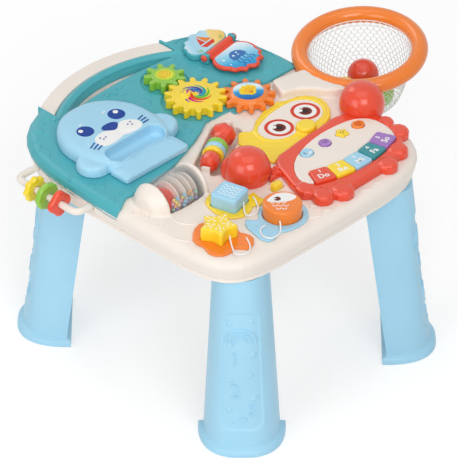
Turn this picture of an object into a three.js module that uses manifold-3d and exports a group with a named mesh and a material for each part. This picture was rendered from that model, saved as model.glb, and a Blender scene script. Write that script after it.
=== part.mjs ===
// A baby's activity table on four legs, in millimetres, +Z up. The toy stands on the floor (z = 0),
// its long front edge with the crab keyboard faces -Y and its carry handle is at the back, +Y.
import * as THREE from 'three';
import { mergeVertices } from 'three/addons/utils/BufferGeometryUtils.js';
import Module from 'manifold-3d';

const wasm = await Module();
wasm.setup();

// Whole table
const DECK_Z = 299;
const SKIRT_HEIGHT = 29;
const HALF_WIDTH = 208;
const HALF_DEPTH = 230;
const CENTRE_X = 4;
const CENTRE_Y = 20;
const EDGE_ROUND = 11;
const SKIRT_DRAFT = 4;
const WALL = 3;
const SEAT_GAP = 0.3;
const RUN_GAP = 0.5;
const OVERRUN = 5;
const FACET_TOLERANCE = 0.1;
const MERGE_REACH = 1e-4;
const OUTLINE_STEPS = 44;
const INSIDE_STEPS = 24;
const INSIDE_SAG = 1;
const CORNER_SQUARENESS = { frontLeft: 6.5, frontRight: 4.6, backRight: 3.8, backLeft: 3.5 };
const SKIRT_Z = DECK_Z - SKIRT_HEIGHT;

// Bottom cover, battery door and sound board
const LIP_HEIGHT = 8;
const LIP_INSET = 5;
const COVER_FLOOR = 2.5;
const PLUG_GAP = 0.4;
const DOOR = { width: 92, depth: 60, round: 5, x: 20, y: 40, ribWidth: 6, ribDepth: 0.6 };
const BOARD = { width: 110, depth: 55, thick: 1.6, x: 50, y: -100, stand: 5, boss: 3 };
const SPEAKER = { radius: 20, height: 8, rim: 2, capShare: 0.55 };

// Legs
const LEG = { footX: 181, footY: 210, topX: 162, topY: 189, topWidth: 73, footWidth: 102, topDepth: 66,
  footDepth: 60, flange: 7, flangeHeight: 10, wall: 3, panelDepth: 1.2, panelMargin: 14, panelSteps: 4,
  fullness: 0.8, plugInset: 8 };

// Teal cover and carry handle
const COVER = { thick: 4.5, overhang: 1.6, drop: 15 };
const HANDLE = { y: 278, slotRadius: 186, bandWidth: 42, slotEndOpen: 3.0886, slotSag: 8, slotEndX: 98,
  baseHeight: 16, bandHeight: 8, railRadius: 8, railRise: 3, gripHeight: 6.5, gripRound: 2.2, rim: 2.5, endX: 126,
  trenchX: 116, overlap: 14 };

// Gears, all of one module; the yellow one drives the other two
const GEAR = { module: 5.5, pressure: 25, addendumShare: 0.75, rootGap: 1.2, backlash: 0.9, boreGap: 0.5,
  postRadius: 5, postRoot: 1, recessDepth: 3, recessGap: 4, tipRound: 0.9, capThick: 3 };
const DISC_SHARES = [[1, 0.3], [0.8, 0.8], [0.45, 1], [0, 1]];
const YELLOW_GEAR = { teeth: 14, thick: 13, x: 48, y: 106, discRadius: 27, discRise: 1 };
const GREEN_GEAR = { teeth: 9, thick: 13, bearing: 86.4, discRadius: 15, discRise: 1 };
const ORANGE_GEAR = { teeth: 12, thick: 9, bearing: -38.2, discRadius: 26.5, discRise: 5 };
const KNOB = { radius: 7.5, height: 6, offset: 11.5, bearing: 145 };
const KNOB_SHARES = [[0.86, 0], [0.86, 0.7], [0.55, 1], [0, 1]];

// Seal console; the head's outline is given as shares of its half sizes, from the crown round to the chin
const SEAL = { x: -98, y: 125, halfWidth: 70, halfDepth: 68, height: 22, flipper: 24, flipperX: 62, flipperY: 88,
  flipperHeight: 16, trayHalf: 58, trayDepth: 34, trayY: 46, trayRound: 5, trayBevel: 1.5, trayStep: 6,
  trayHeight: 9, muzzleX: 24, muzzleY: 108, muzzle: 27, muzzleShare: 0.58, muzzleRise: 0.7, scoopHalf: 50,
  scoopDepth: 27, scoopY: 73, scoopFloor: 4 };
const SEAL_SHARES = [[0, 1], [0.3, 0.97], [0.58, 0.82], [0.82, 0.55], [0.97, 0.22], [1, -0.15], [0.97, -0.5],
  [0.86, -0.82], [0.6, -1], [0, -1]];

// Picture book; the scallops of its two halves are given as shares of spine length and reach
const BOOK = { spineX: 152, spineY: 166, bearing: 9, spineRadius: 5.2, spineLength: 66, padHeight: 9,
  pageThick: 5, pageDrop: 0.5, padReach: 50, pageReach: 66, hingeGap: 6, edge: 1.2, cheek: 6, seat: 2.5,
  pinRadius: 2.2, headLength: 4 };
const SHELL_SHARES = [[-0.62, 0], [-0.95, 0.1], [-1.12, 0.3], [-1.08, 0.5], [-0.98, 0.58], [-0.92, 0.74], [-0.7, 0.8],
  [-0.58, 0.93], [-0.32, 0.9], [-0.14, 1], [0.14, 1], [0.32, 0.9], [0.58, 0.93], [0.7, 0.8], [0.92, 0.74],
  [0.98, 0.58], [1.08, 0.5], [1.12, 0.3], [0.95, 0.1], [0.62, 0]];
const HEAD_TIP_SHARE = 0.6;

// Roller drum
const DRUM = { x: -124, y: -23, length: 64, endRadius: 27.5, midRadius: 31, wall: 2, axleRadius: 3.5,
  collar: 4.5, mound: 22, vaneThick: 2, beadRadius: 3, axleReach: 5,
  beadRow: 5, beadStart: 2, beadLift: 5, beadSink: 1.1 };
const MOUND_SHARES = [[0, 1], [0.55, 0.92], [0.85, 0.6]];
const COLLAR_SHARES = [[0.93, 1.6], [0, 1.8]];
const DRUM_DISC_SHARES = [[-0.36, 0.84], [-0.14, 0.6], [0.09, 0.6], [0.32, 0.6]];

// Spindle with the squid and three rings
const SQUID = { x: -8, y: 9, bearing: 29.3, troughLength: 118, troughWidth: 41, troughDepth: 14,
  axleRadius: 3, headRadius: 17.5, headLength: 46, tailRadius: 14, tailLength: 25, ringRadius: 15,
  ringWidth: 9, ringGap: 0.7, height: 4, troughRound: 12, bearingThick: 5, bearingHalf: 6, ringRound: 1.5,
  headStart: 4, tailStart: -52, axleEnd: 3.5 };
const SQUID_HEAD_SHARES = [[0.5, 0], [0.78, 0.03], [0.62, 0.2], [0.7, 0.34], [1, 0.5], [0.98, 0.66], [0.3, 0.97],
  [0.22, 1]];
const SQUID_TAIL_SHARES = [[0.3, 0], [0.62, 0.08], [0.9, 0.34], [1, 0.66], [0.9, 1]];

// Owl
const OWL = { x: 95, y: -20, reach: 100, plate: 4.5, edge: 1.4, rim: 5, rimRise: 1.2, faceDrop: 1.5,
  faceRise: 0.3, beakX: 106, beakY: -45, beakWidth: 15, beakDepth: 13.5, beakHeight: 8 };
const OWL_SHARES = [[-0.66, 0.27], [-0.57, 0.33], [-0.45, 0.23], [-0.35, 0.28], [-0.22, 0.37],
  [-0.07, 0.42], [0.06, 0.48], [0.19, 0.53], [0.3, 0.48], [0.43, 0.4], [0.57, 0.39], [0.72, 0.27],
  [0.78, 0.1], [0.72, -0.09], [0.56, -0.27], [0.35, -0.36], [0, -0.38], [-0.35, -0.42], [-0.61, -0.46],
  [-0.76, -0.5], [-0.73, -0.32], [-0.65, -0.18], [-0.69, -0.04], [-0.79, 0.1]];
const FACE_SHARES = [[-0.4, 0.16], [-0.15, 0.29], [0.19, 0.35], [0.51, 0.31], [0.64, 0.15], [0.63, -0.03],
  [0.48, -0.19], [0.23, -0.23], [-0.01, -0.22], [-0.27, -0.21], [-0.43, -0.05]];

// Crab keyboard; keys lie on an arc about a point behind them
const CRAB = { x: 92, y: -120, reach: 100, halfWidth: 92, height: 11, round: 4, panelThick: 3, panelRise: 0.6,
  lobeHeight: 13, armX: 3, armY: -88, armLength: 34, armWidth: 16, armHeight: 7, ribRadius: 2 };
const CRAB_SHARES = [[-0.82, 0.34], [-0.68, 0.5], [-0.35, 0.55], [-0.03, 0.59], [0.34, 0.6], [0.5, 0.63],
  [0.64, 0.6], [0.78, 0.52], [0.98, 0.28], [1.02, 0.08], [0.98, -0.1], [0.86, -0.35], [0.68, -0.52],
  [0.48, -0.63], [0.14, -0.66], [-0.36, -0.67], [-0.62, -0.68], [-0.84, -0.58], [-0.96, -0.42], [-1, -0.25],
  [-0.97, -0.05], [-0.89, 0.15]];
const LOBE_SHARES = [[-0.91, -0.27, 0.15], [-0.85, -0.53, 0.15], [-0.58, -0.63, 0.16], [0.27, -0.64, 0.14],
  [0.6, -0.5, 0.15], [0.92, -0.21, 0.15], [0.94, 0.06, 0.13]];
const PANEL_SHARES = [[0.8, -0.26], [0.86, -0.1], [0.88, 0.05], [0.85, 0.21], [0.76, 0.33], [0.61, 0.41],
  [0.38, 0.45], [0.14, 0.46], [-0.11, 0.43], [-0.34, 0.37], [-0.56, 0.27], [-0.72, 0.13], [-0.82, -0.03],
  [-0.85, -0.17], [-0.8, -0.3]];
const KEY = { depth: 29, height: 10, rise: 3.4, travel: 2.5, arcRadius: 185, arcX: 92, arcY: 31,
  pitchAngle: 9.1, round: 4, bevel: 1.8, gap: 0.5 };
const KEY_NAMES = ['do', 're', 'mi', 'fa', 'so'];
const BUTTON = { height: 6, rise: 2.2, travel: 2, size: 8.5, rowY: -97, rowX: [58, 92, 124, 154], bow: 3, bevel: 1.2,
  gap: 0.5, steps: 15 };
const BUTTON_WAVE_SHARES = [[1, 0.12, 1.15], [7, 0.07, 1], [5, 0.2, 1], [4, 0.05, 1.08]];
const CLAW = { radius: 31, height: 42, leftX: -25, leftY: -65, rightX: 193, rightY: -65, jaw: 15, jawShare: 0.62,
  leftBearing: 120, rightBearing: 75 };
const SWITCH = { width: 14, depth: 12, height: 7, sunk: 5, x: -14, y: -108, travel: 3, slot: 2.5, bevel: 1.2 };
const SWITCH_FLOOR = DECK_Z - SWITCH.sunk;

// Shape sorter
const PLATE = { reach: 100, thick: 3, edge: 0.8 };
const PEG = { height: 25, sunk: 4, gap: 0.6, round: 6, bevel: 2 };
const SQUARE_PEG = { x: -86, y: -92, half: 19.5, bearing: 15 };
const ROUND_PEG = { x: -55, y: -159, radius: 26.5 };
const STAR_PEG = { x: -148, y: -133, tipCount: 5, outer: 28, inner: 16.5, round: 5 };
const PLATE_SHARES = {
  square: [[-0.04, 0.32], [-0.2, 0.26], [-0.28, 0.08], [-0.29, -0.14], [-0.21, -0.29], [-0.06, -0.35],
    [0.08, -0.32], [0.18, -0.27], [0.25, -0.32], [0.38, -0.28], [0.36, -0.17], [0.4, -0.06], [0.29, -0.05],
    [0.27, 0.06], [0.28, 0.2], [0.16, 0.3]],
  round: [[0.01, 0.31], [0.17, 0.29], [0.3, 0.17], [0.35, -0.01], [0.3, -0.17], [0.14, -0.32],
    [-0.05, -0.35], [-0.22, -0.32], [-0.34, -0.26], [-0.45, -0.32], [-0.6, -0.28], [-0.58, -0.06],
    [-0.54, 0.13], [-0.43, 0.25], [-0.33, 0.13], [-0.25, 0.19], [-0.15, 0.3]],
  star: [[-0.01, 0.35], [0.16, 0.28], [0.31, 0.14], [0.32, -0.01], [0.24, -0.16], [0.29, -0.27],
    [0.26, -0.41], [0.05, -0.51], [-0.04, -0.37], [-0.16, -0.4], [-0.32, -0.35], [-0.38, -0.2],
    [-0.33, -0.07], [-0.34, 0.11], [-0.2, 0.27]],
};
const CORD = { radius: 1.1, sides: 8, steps: 13 };
const CORD_ROUTES = {
  square: [[-80.3, -112.3, 309], [-88, -121, 306], [-93, -130, 304], [-85, -136, 304], [-73, -132, 303.9],
    [-63, -119, 303.9], [-57, -107, 303.9]],
  round: [[-77, -176, 309], [-82, -182, 306], [-92, -190, 304], [-107, -190, 304], [-111, -178, 304],
    [-103, -166, 303.9], [-92, -164, 303.9]],
  star: [[-147, -153, 309], [-152, -160, 306], [-160, -172, 304], [-165, -183, 304], [-154, -191, 304],
    [-140, -184, 304], [-129, -166, 303.9]],
};

// Bead rail on the left side
const RAIL = { outX: -228, innerX: -192, lowY: 50, highY: 165, bend: 24, radius: 5, z: 284, steps: 26 };
const BEAD = { radius: 20, hole: 5.6, thick: 9, edge: 2.5, pitch: 23.5,
  steps: 20, waveShares: [[4, 0.1], [8, 0.03], [8, 0.09]] };

// Hoop, net bag and balls on the right side
const HOOP = { x: 284, y: 27, z: 311, midRadius: 82, tube: 11.5, tilt: 5, tongueWidth: 42, tongueThick: 7,
  tongueLength: 13, saddleGap: 0.8 };
const NET = { topRadius: 70.5, depth: 85, wall: 1.6, drop: 1 };
const NET_SHARES = [[1, 0], [0.96, -0.25], [0.9, -0.5], [0.8, -0.75], [0.68, -0.92], [0.5, -1], [0, -1]];
const BALL = { radius: 22.5, spread: 27, bearings: [40, 160, 280], floorGap: 0.3 };
const BLOCK = { x: 175, y: 10, reach: 100, height: 14, sunk: 20, round: 5, edge: 3 };
const BLOCK_SHARES = [[-0.4, 0.19], [-0.27, 0.51], [0.13, 0.41], [0.33, 0.36], [0.33, -0.38], [0.21, -0.31],
  [0.06, -0.18], [-0.03, -0.01], [-0.19, 0.12]];

// Materials
const plastic = (color, roughness = 0.42) => new THREE.MeshStandardMaterial({ color, roughness, metalness: 0 });
const CREAM = plastic(0xefe6dd);
const TEAL = plastic(0x4aa7ab);
const SKY = plastic(0xa5d8f6);
const YELLOW = plastic(0xfadb2e);
const ORANGE = plastic(0xf5822a);
const RED = plastic(0xe84c30);
const GREEN = plastic(0x8dc63f);
const PURPLE = plastic(0xa070be);
const DEEP_TEAL = plastic(0x1c8c96);
const WHITE = plastic(0xf8f8f8, 0.8);
const CLEAR = new THREE.MeshStandardMaterial({ color: 0xeaf2f4, roughness: 0.06, metalness: 0, transparent: true,
  opacity: 0.3 });

const QUARTER_TURN = 90;
const toRadians = THREE.MathUtils.degToRad;
const at = (radius, degrees) => new THREE.Vector2(radius * Math.cos(toRadians(degrees)),
  radius * Math.sin(toRadians(degrees)));

// Solids from closed geometries, and back
function solid(geometry) {
  if (!geometry.isBufferGeometry) return geometry;
  const bare = geometry.index ? geometry.clone() : geometry;
  bare.deleteAttribute('normal');
  bare.deleteAttribute('uv');
  const merged = mergeVertices(bare, MERGE_REACH);
  return new wasm.Manifold(new wasm.Mesh({
    numProp: 3,
    vertProperties: new Float32Array(merged.attributes.position.array),
    triVerts: new Uint32Array(merged.index.array),
  }));
}

function geometryOf(manifold) {
  const mesh = manifold.simplify(FACET_TOLERANCE).getMesh();
  const geometry = new THREE.BufferGeometry();
  geometry.setAttribute('position', new THREE.BufferAttribute(mesh.vertProperties, 3));
  geometry.setIndex(new THREE.BufferAttribute(mesh.triVerts, 1));
  return geometry;
}

const join = (first, ...others) => others.reduce((sum, other) => sum.add(other), first);
const cut = (first, ...others) => others.reduce((sum, other) => sum.subtract(other), first);
const moved = (shape, x, y, z) => (shape.isBufferGeometry ? shape.clone() : shape).translate(x, y, z);

// A skin over loops of equally many points, closed by a flat face at each end
function loft(loops) {
  const count = loops[0].length;
  const positions = loops.flat().flatMap((point) => [point.x, point.y, point.z]);
  const triangles = [];
  for (let ring = 0; ring + 1 < loops.length; ring += 1) {
    for (let i = 0; i < count; i += 1) {
      const a = ring * count + i;
      const b = ring * count + (i + 1) % count;
      triangles.push(a, b, b + count, a, b + count, a + count);
    }
  }
  const lastStart = (loops.length - 1) * count;
  for (const [a, b, c] of THREE.ShapeUtils.triangulateShape(loops[0], [])) triangles.push(c, b, a);
  for (const [a, b, c] of THREE.ShapeUtils.triangulateShape(loops.at(-1), [])) {
    triangles.push(lastStart + a, lastStart + b, lastStart + c);
  }
  const geometry = new THREE.BufferGeometry();
  geometry.setAttribute('position', new THREE.Float32BufferAttribute(positions, 3));
  geometry.setIndex(triangles);
  return geometry;
}

// An outline raised from z = 0, its top edge rounded when a bevel is given, its lower edge too if asked
function raised(shape, height, { bevel = 0, bevelSteps = 2, curveSegments = 3, lowerToo = false } = {}) {
  if (!bevel) return new THREE.ExtrudeGeometry(shape, { depth: height, bevelEnabled: false, curveSegments });
  const depth = height - (lowerToo ? 2 * bevel : bevel);
  const geometry = new THREE.ExtrudeGeometry(shape, { depth, curveSegments, bevelEnabled: true,
    bevelThickness: bevel, bevelSize: bevel, bevelOffset: -bevel, bevelSegments: bevelSteps });
  if (lowerToo) return geometry.translate(0, 0, bevel);
  return solid(geometry).trimByPlane([0, 0, 1], 0);
}

// A profile of [radius, z] turned round +Z
const turned = (profile, segments = 24) => new THREE.LatheGeometry(
  profile.map(([r, z]) => new THREE.Vector2(r, z)), segments).rotateX(Math.PI / 2);

// A closed outline through points; smooth outlines pass a spline through them
function outline(points, smooth = 0) {
  if (!smooth) return new THREE.Shape(points);
  const curve = new THREE.CatmullRomCurve3(points.map((p) => new THREE.Vector3(p.x, p.y, 0)), true, 'centripetal');
  return new THREE.Shape(curve.getPoints(smooth).slice(0, -1).map((p) => new THREE.Vector2(p.x, p.y)));
}

const pointsFrom = (pairs, width = 1, height = width) => pairs.map(([x, y]) =>
  new THREE.Vector2(x * width, y * height));

function roundedRectangle(halfWidth, halfDepth, radius) {
  const shape = new THREE.Shape();
  const r = Math.min(radius, halfWidth, halfDepth);
  shape.absarc(halfWidth - r, halfDepth - r, r, 0, Math.PI / 2);
  shape.absarc(r - halfWidth, halfDepth - r, r, Math.PI / 2, Math.PI);
  shape.absarc(r - halfWidth, r - halfDepth, r, Math.PI, 1.5 * Math.PI);
  shape.absarc(halfWidth - r, r - halfDepth, r, 1.5 * Math.PI, 2 * Math.PI);
  return shape;
}

function piece(name, shape, material, [x, y, z] = [0, 0, 0]) {
  const geometry = geometryOf(solid(shape));
  const mesh = new THREE.Mesh(geometry, material);
  mesh.name = name;
  mesh.position.set(x, y, z);
  return mesh;
}

// The table's outline at one height: each corner of the rounded square has a squareness of its own
function tableLoop(grow, z, steps = OUTLINE_STEPS) {
  return Array.from({ length: steps }, (_, i) => {
    const turn = (2 * Math.PI * i) / steps;
    const along = Math.cos(turn);
    const across = Math.sin(turn);
    const corner = (across < 0 ? 'front' : 'back') + (along < 0 ? 'Left' : 'Right');
    const power = 2 / CORNER_SQUARENESS[corner];
    const reach = (share, half) => Math.sign(share) * Math.abs(share) ** power * (half + grow);
    return new THREE.Vector3(CENTRE_X + reach(along, HALF_WIDTH), CENTRE_Y + reach(across, HALF_DEPTH), z);
  });
}

// The table's body between two heights, its top edge rounded, grown all round by one amount
function tableBody(bottom, top, grow, { steps = OUTLINE_STEPS, turns = [0, 30, 60, 90] } = {}) {
  const loops = [tableLoop(grow - SKIRT_DRAFT * (top - bottom) / SKIRT_HEIGHT, bottom, steps)];
  for (const degrees of turns) {
    const turn = toRadians(degrees);
    loops.push(tableLoop(grow - EDGE_ROUND * (1 - Math.cos(turn)), top - EDGE_ROUND * (1 - Math.sin(turn)), steps));
  }
  return solid(loft(loops));
}

// Carry handle: everything follows arcs about one centre in front of it
const HANDLE_OUTER = HANDLE.slotRadius + HANDLE.bandWidth;
const HANDLE_RAIL = HANDLE.slotRadius + HANDLE.railRadius;
const HANDLE_CENTRE = new THREE.Vector2(CENTRE_X, HANDLE.y - HANDLE_OUTER);
const arcPoint = (radius, x) => new THREE.Vector2(CENTRE_X + x,
  HANDLE_CENTRE.y + Math.sqrt(radius ** 2 - x ** 2));
const arcPoints = (radius, fromX, toX, steps) => Array.from({ length: steps + 1 }, (_, i) =>
  arcPoint(radius, fromX + (toX - fromX) * i / steps));
const SLOT_Y = arcPoint(HANDLE.slotRadius, HANDLE.slotEndX).y - HANDLE.slotEndOpen + HANDLE.slotSag;
const HANDLE_BASE_TOP = SKIRT_Z + HANDLE.baseHeight;
const HANDLE_BAND_TOP = HANDLE_BASE_TOP + SEAT_GAP + HANDLE.bandHeight;

function handleBand(inner, outer, endX, steps = 20) {
  return new THREE.Shape([...arcPoints(outer, endX, -endX, steps), ...arcPoints(inner, -endX, endX, steps)]);
}

function slotShape(shrink) {
  const end = HANDLE.slotEndX - shrink;
  const near = (x) => new THREE.Vector2(CENTRE_X + x,
    SLOT_Y + shrink - HANDLE.slotSag * (x / HANDLE.slotEndX) ** 2);
  const steps = 12;
  const edge = Array.from({ length: steps + 1 }, (_, i) => near(-end + 2 * end * i / steps));
  return new THREE.Shape([...arcPoints(HANDLE.slotRadius - shrink, end, -end, steps), ...edge]);
}

function prism(shape, bottom, top, options) {
  return solid(raised(shape, top - bottom, options).translate(0, 0, bottom));
}

function handleBase(grow = 0) {
  const end = HANDLE.endX + grow;
  const segment = new THREE.Shape([...arcPoints(HANDLE_OUTER - HANDLE.rim + grow, end, -end, 22),
    new THREE.Vector2(CENTRE_X - end, SLOT_Y - HANDLE.overlap),
    new THREE.Vector2(CENTRE_X + end, SLOT_Y - HANDLE.overlap)]);
  return prism(segment, SKIRT_Z - grow, HANDLE_BASE_TOP + grow);
}

// The room over the handle's base that the teal band and the grip take up
function handleTrench(grow) {
  const room = handleBand(HANDLE.slotRadius - grow, 2 * HANDLE_OUTER, HANDLE.trenchX + grow);
  return prism(room, HANDLE_BASE_TOP, DECK_Z + HANDLE.overlap);
}

// Drum housing: a barrel-shaped pit in the deck with a rounded mound at each end
const drumShares = [-0.5, -0.25, 0, 0.25, 0.5];
const barrelRadius = (share, extra) => DRUM.midRadius + extra
  - (DRUM.midRadius - DRUM.endRadius) * (2 * share) ** 2;
const barrel = (extra, length) => [[0, -length / 2],
  ...drumShares.map((share) => [barrelRadius(share, extra), share * length]), [0, length / 2]];
const alongX = (geometry, x, y, z) => geometry.rotateY(Math.PI / 2).translate(x, y, z);

function drumMound() {
  const half = DRUM.length / 2;
  const radius = DRUM.endRadius + DRUM.collar;
  const profile = [...MOUND_SHARES.map(([r, s]) => [r * radius, -half - s * DRUM.mound]),
    [radius, -half - DRUM.collar], [radius, half + DRUM.collar],
    ...COLLAR_SHARES.map(([r, s]) => [r * radius, half + s * DRUM.collar])];
  const opening = new THREE.BoxGeometry(DRUM.length + 2 * RUN_GAP, 4 * DRUM.midRadius, 2 * DRUM.midRadius);
  return cut(solid(alongX(turned(profile, 24), DRUM.x, DRUM.y, DECK_Z)),
    solid(opening.translate(DRUM.x, DRUM.y, DECK_Z + DRUM.midRadius)));
}

const drumAxleHole = () => solid(alongX(new THREE.CylinderGeometry(DRUM.axleRadius + RUN_GAP,
  DRUM.axleRadius + RUN_GAP, DRUM.length + 2 * DRUM.axleReach + 2 * RUN_GAP, 12).rotateX(Math.PI / 2),
DRUM.x, DRUM.y, DECK_Z));
const drumPit = () => solid(alongX(turned(barrel(RUN_GAP, DRUM.length + 2 * RUN_GAP), 20),
  DRUM.x, DRUM.y, DECK_Z));

function drumTub() {
  const tub = new THREE.BoxGeometry(DRUM.length + 2 * DRUM.mound, 2 * DRUM.midRadius + 2 * WALL,
    DRUM.midRadius);
  return solid(tub.translate(DRUM.x - DRUM.collar, DRUM.y, DECK_Z - DRUM.midRadius / 2 - WALL));
}

// Spindle trough
const squidTurn = toRadians(SQUID.bearing);
const squidPlace = (geometry) => geometry.rotateZ(squidTurn).translate(SQUID.x, SQUID.y, 0);
const SQUID_Z = DECK_Z + SQUID.height;

function trough(grow, bottom, top) {
  const shape = roundedRectangle(SQUID.troughLength / 2 + grow, SQUID.troughWidth / 2 + grow,
    SQUID.troughRound + grow);
  return solid(squidPlace(raised(shape, top - bottom).translate(0, 0, bottom)));
}

// The two bearings that carry the spindle's axle stand at the trough's ends
function squidBearings() {
  const ends = [-1, 1].map((side) => {
    const block = new THREE.BoxGeometry(SQUID.bearingThick, 2 * SQUID.bearingHalf, SQUID_Z + SQUID.bearingHalf
      - (DECK_Z - SQUID.troughDepth));
    block.translate(side * (SQUID.troughLength / 2 - SQUID.bearingThick / 2), 0,
      (SQUID_Z + SQUID.bearingHalf + DECK_Z - SQUID.troughDepth) / 2);
    return solid(squidPlace(block));
  });
  return join(...ends);
}

const squidAxleHole = () => solid(squidPlace(new THREE.CylinderGeometry(SQUID.axleRadius + RUN_GAP,
  SQUID.axleRadius + RUN_GAP, SQUID.troughLength - SQUID.bearingThick, 12).rotateZ(Math.PI / 2)
  .translate(0, 0, SQUID_Z)));

// Raised block on the right edge, with the saddle and slot that hold the hoop
const hoopTurn = toRadians(HOOP.tilt);
const hoopPlace = (geometry) => geometry.rotateY(-hoopTurn).translate(HOOP.x, HOOP.y, HOOP.z);
const hoopTorus = (grow) => hoopPlace(new THREE.TorusGeometry(HOOP.midRadius, HOOP.tube + grow, 9, 32));

const blockShape = () => softPolygon(counterClockwise(placed(BLOCK_SHARES, BLOCK)), BLOCK.round);
const hoopBlock = () => prism(blockShape(), DECK_Z - BLOCK.sunk, DECK_Z + BLOCK.height,
  { bevel: BLOCK.edge, curveSegments: 2 });
const blockRoom = () => grownPrism(blockShape().getPoints(2), SEAT_GAP, DECK_Z - BLOCK.sunk,
  DECK_Z + BLOCK.height + OVERRUN);

const tongueLength = HOOP.tongueLength + HOOP.tube;
function hoopTongue(grow) {
  const tongue = new THREE.BoxGeometry(tongueLength + grow, HOOP.tongueWidth + 2 * grow,
    HOOP.tongueThick + 2 * grow);
  return hoopPlace(tongue.translate(-HOOP.midRadius - tongueLength / 2 - grow / 2, 0, 0));
}

function sorterHoles() {
  const shapes = [pegShape('square', PEG.gap), pegShape('round', PEG.gap), pegShape('star', PEG.gap)];
  return shapes.map((shape) => prism(shape, DECK_Z - PEG.sunk, DECK_Z + OVERRUN));
}

function switchSlot(grow, bottom, top) {
  const shape = roundedRectangle(SWITCH.width / 2 + SWITCH.travel + grow, SWITCH.depth / 2 + grow, SWITCH.slot);
  return solid(raised(shape, top - bottom).translate(SWITCH.x, SWITCH.y, bottom));
}

// Hollows under each recess keep the deck one wall thick; all of them hang into the shell's cavity
function topShell() {
  const body = cut(tableBody(SKIRT_Z, DECK_Z, 0), handleTrench(SEAT_GAP));
  const outer = join(body, handleBase(), drumMound(), drumTub(), hoopBlock());
  const cavityTop = DECK_Z - WALL;
  const inside = tableBody(SKIRT_Z - OVERRUN, cavityTop, -WALL - INSIDE_SAG,
    { steps: INSIDE_STEPS, turns: [0, 45, 90] });
  const cavity = cut(inside,
    drumTub(), trough(WALL, DECK_Z - SQUID.troughDepth - WALL, DECK_Z + OVERRUN),
    prism(backStrip(), SKIRT_Z - 2 * OVERRUN, DECK_Z),
    ...sorterTubs(), switchSlot(WALL, SWITCH_FLOOR - WALL, DECK_Z));
  const floor = prism(slotShape(0), SKIRT_Z - OVERRUN, DECK_Z + OVERRUN);
  const hollowed = cut(outer, cavity, floor, drumPit(), trough(0, DECK_Z - SQUID.troughDepth, DECK_Z + OVERRUN));
  const carried = join(hollowed, squidBearings());
  return cut(carried, drumAxleHole(), squidAxleHole(), solid(hoopTorus(HOOP.saddleGap)),
    solid(hoopTongue(SEAT_GAP)), switchSlot(0, SWITCH_FLOOR, DECK_Z + OVERRUN), ...sorterHoles(), ...railHoles());
}

// Solid strip of the body between the hand slot and the hollow
function backStrip() {
  const front = SLOT_Y - HANDLE.slotSag - WALL;
  const side = HALF_WIDTH + HALF_DEPTH;
  return new THREE.Shape(pointsFrom([[-side, front], [side, front], [side, front + side], [-side, front + side]]));
}

function sorterTubs() {
  const reach = ROUND_PEG.radius + PEG.gap + 2 * WALL;
  return [SQUARE_PEG, ROUND_PEG, STAR_PEG].map(({ x, y }) => solid(new THREE.CylinderGeometry(reach, reach,
    2 * PEG.sunk, 8).rotateX(Math.PI / 2).translate(x, y, DECK_Z - WALL)));
}

// Teal cover: a cap over the left and back of the deck, bounded by this outline in shares of the table
const coverShares = [[-1.173, -0.104], [-0.962, -0.091], [-0.861, -0.039], [-0.707, -0.048], [-0.548, -0.026],
  [-0.404, -0.004], [-0.221, 0.052], [-0.101, 0.091], [0.01, 0.139], [0.096, 0.183], [0.303, 0.174],
  [0.298, 0.13], [0.481, 0.104], [0.64, 0.157], [0.64, 0.22], [1.135, 0.22], [1.135, 1.217], [-1.173, 1.217]];
const onTable = (shares) => shares.map(([x, y]) => new THREE.Vector2(CENTRE_X + x * HALF_WIDTH,
  CENTRE_Y + y * HALF_DEPTH));
const COVER_TOP = DECK_Z + SEAT_GAP + COVER.thick;
const GEAR_FLOOR = COVER_TOP - GEAR.recessDepth;

function gearPlace(spec) {
  if (spec === YELLOW_GEAR) return new THREE.Vector2(spec.x, spec.y);
  const distance = GEAR.module * (YELLOW_GEAR.teeth + spec.teeth) / 2;
  return at(distance, spec.bearing).add(new THREE.Vector2(YELLOW_GEAR.x, YELLOW_GEAR.y));
}

const outerRadius = (spec) => GEAR.module * (spec.teeth / 2 + GEAR.addendumShare);

function gearRecess(spec) {
  const place = gearPlace(spec);
  const radius = outerRadius(spec) + GEAR.recessGap;
  const pit = new THREE.CylinderGeometry(radius, radius, GEAR.recessDepth + OVERRUN, 22).rotateX(Math.PI / 2);
  return solid(pit.translate(place.x, place.y, GEAR_FLOOR + (GEAR.recessDepth + OVERRUN) / 2));
}

function gearPost(spec) {
  const place = gearPlace(spec);
  const height = spec.thick - GEAR.capThick - GEAR.boreGap;
  const length = height + GEAR.postRoot;
  const post = new THREE.CylinderGeometry(GEAR.postRadius, GEAR.postRadius, length, 12).rotateX(Math.PI / 2);
  return solid(post.translate(place.x, place.y, GEAR_FLOOR - GEAR.postRoot + length / 2));
}

function railTube() {
  const ends = HANDLE.trenchX + HANDLE.railRadius;
  const z = HANDLE_BAND_TOP + HANDLE.railRise;
  const path = new THREE.CatmullRomCurve3(arcPoints(HANDLE_RAIL, -ends, ends, 12)
    .map((p) => new THREE.Vector3(p.x, p.y, z)));
  const section = new THREE.Shape().absarc(0, 0, HANDLE.railRadius, 0, 2 * Math.PI);
  const room = handleBand(HANDLE.slotRadius - OVERRUN, HANDLE_OUTER, HANDLE.trenchX);
  return solid(new THREE.ExtrudeGeometry(section, { steps: 16, extrudePath: path, curveSegments: 3 }))
    .intersect(prism(room, SKIRT_Z, DECK_Z + 2 * HANDLE.railRadius));
}

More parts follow.
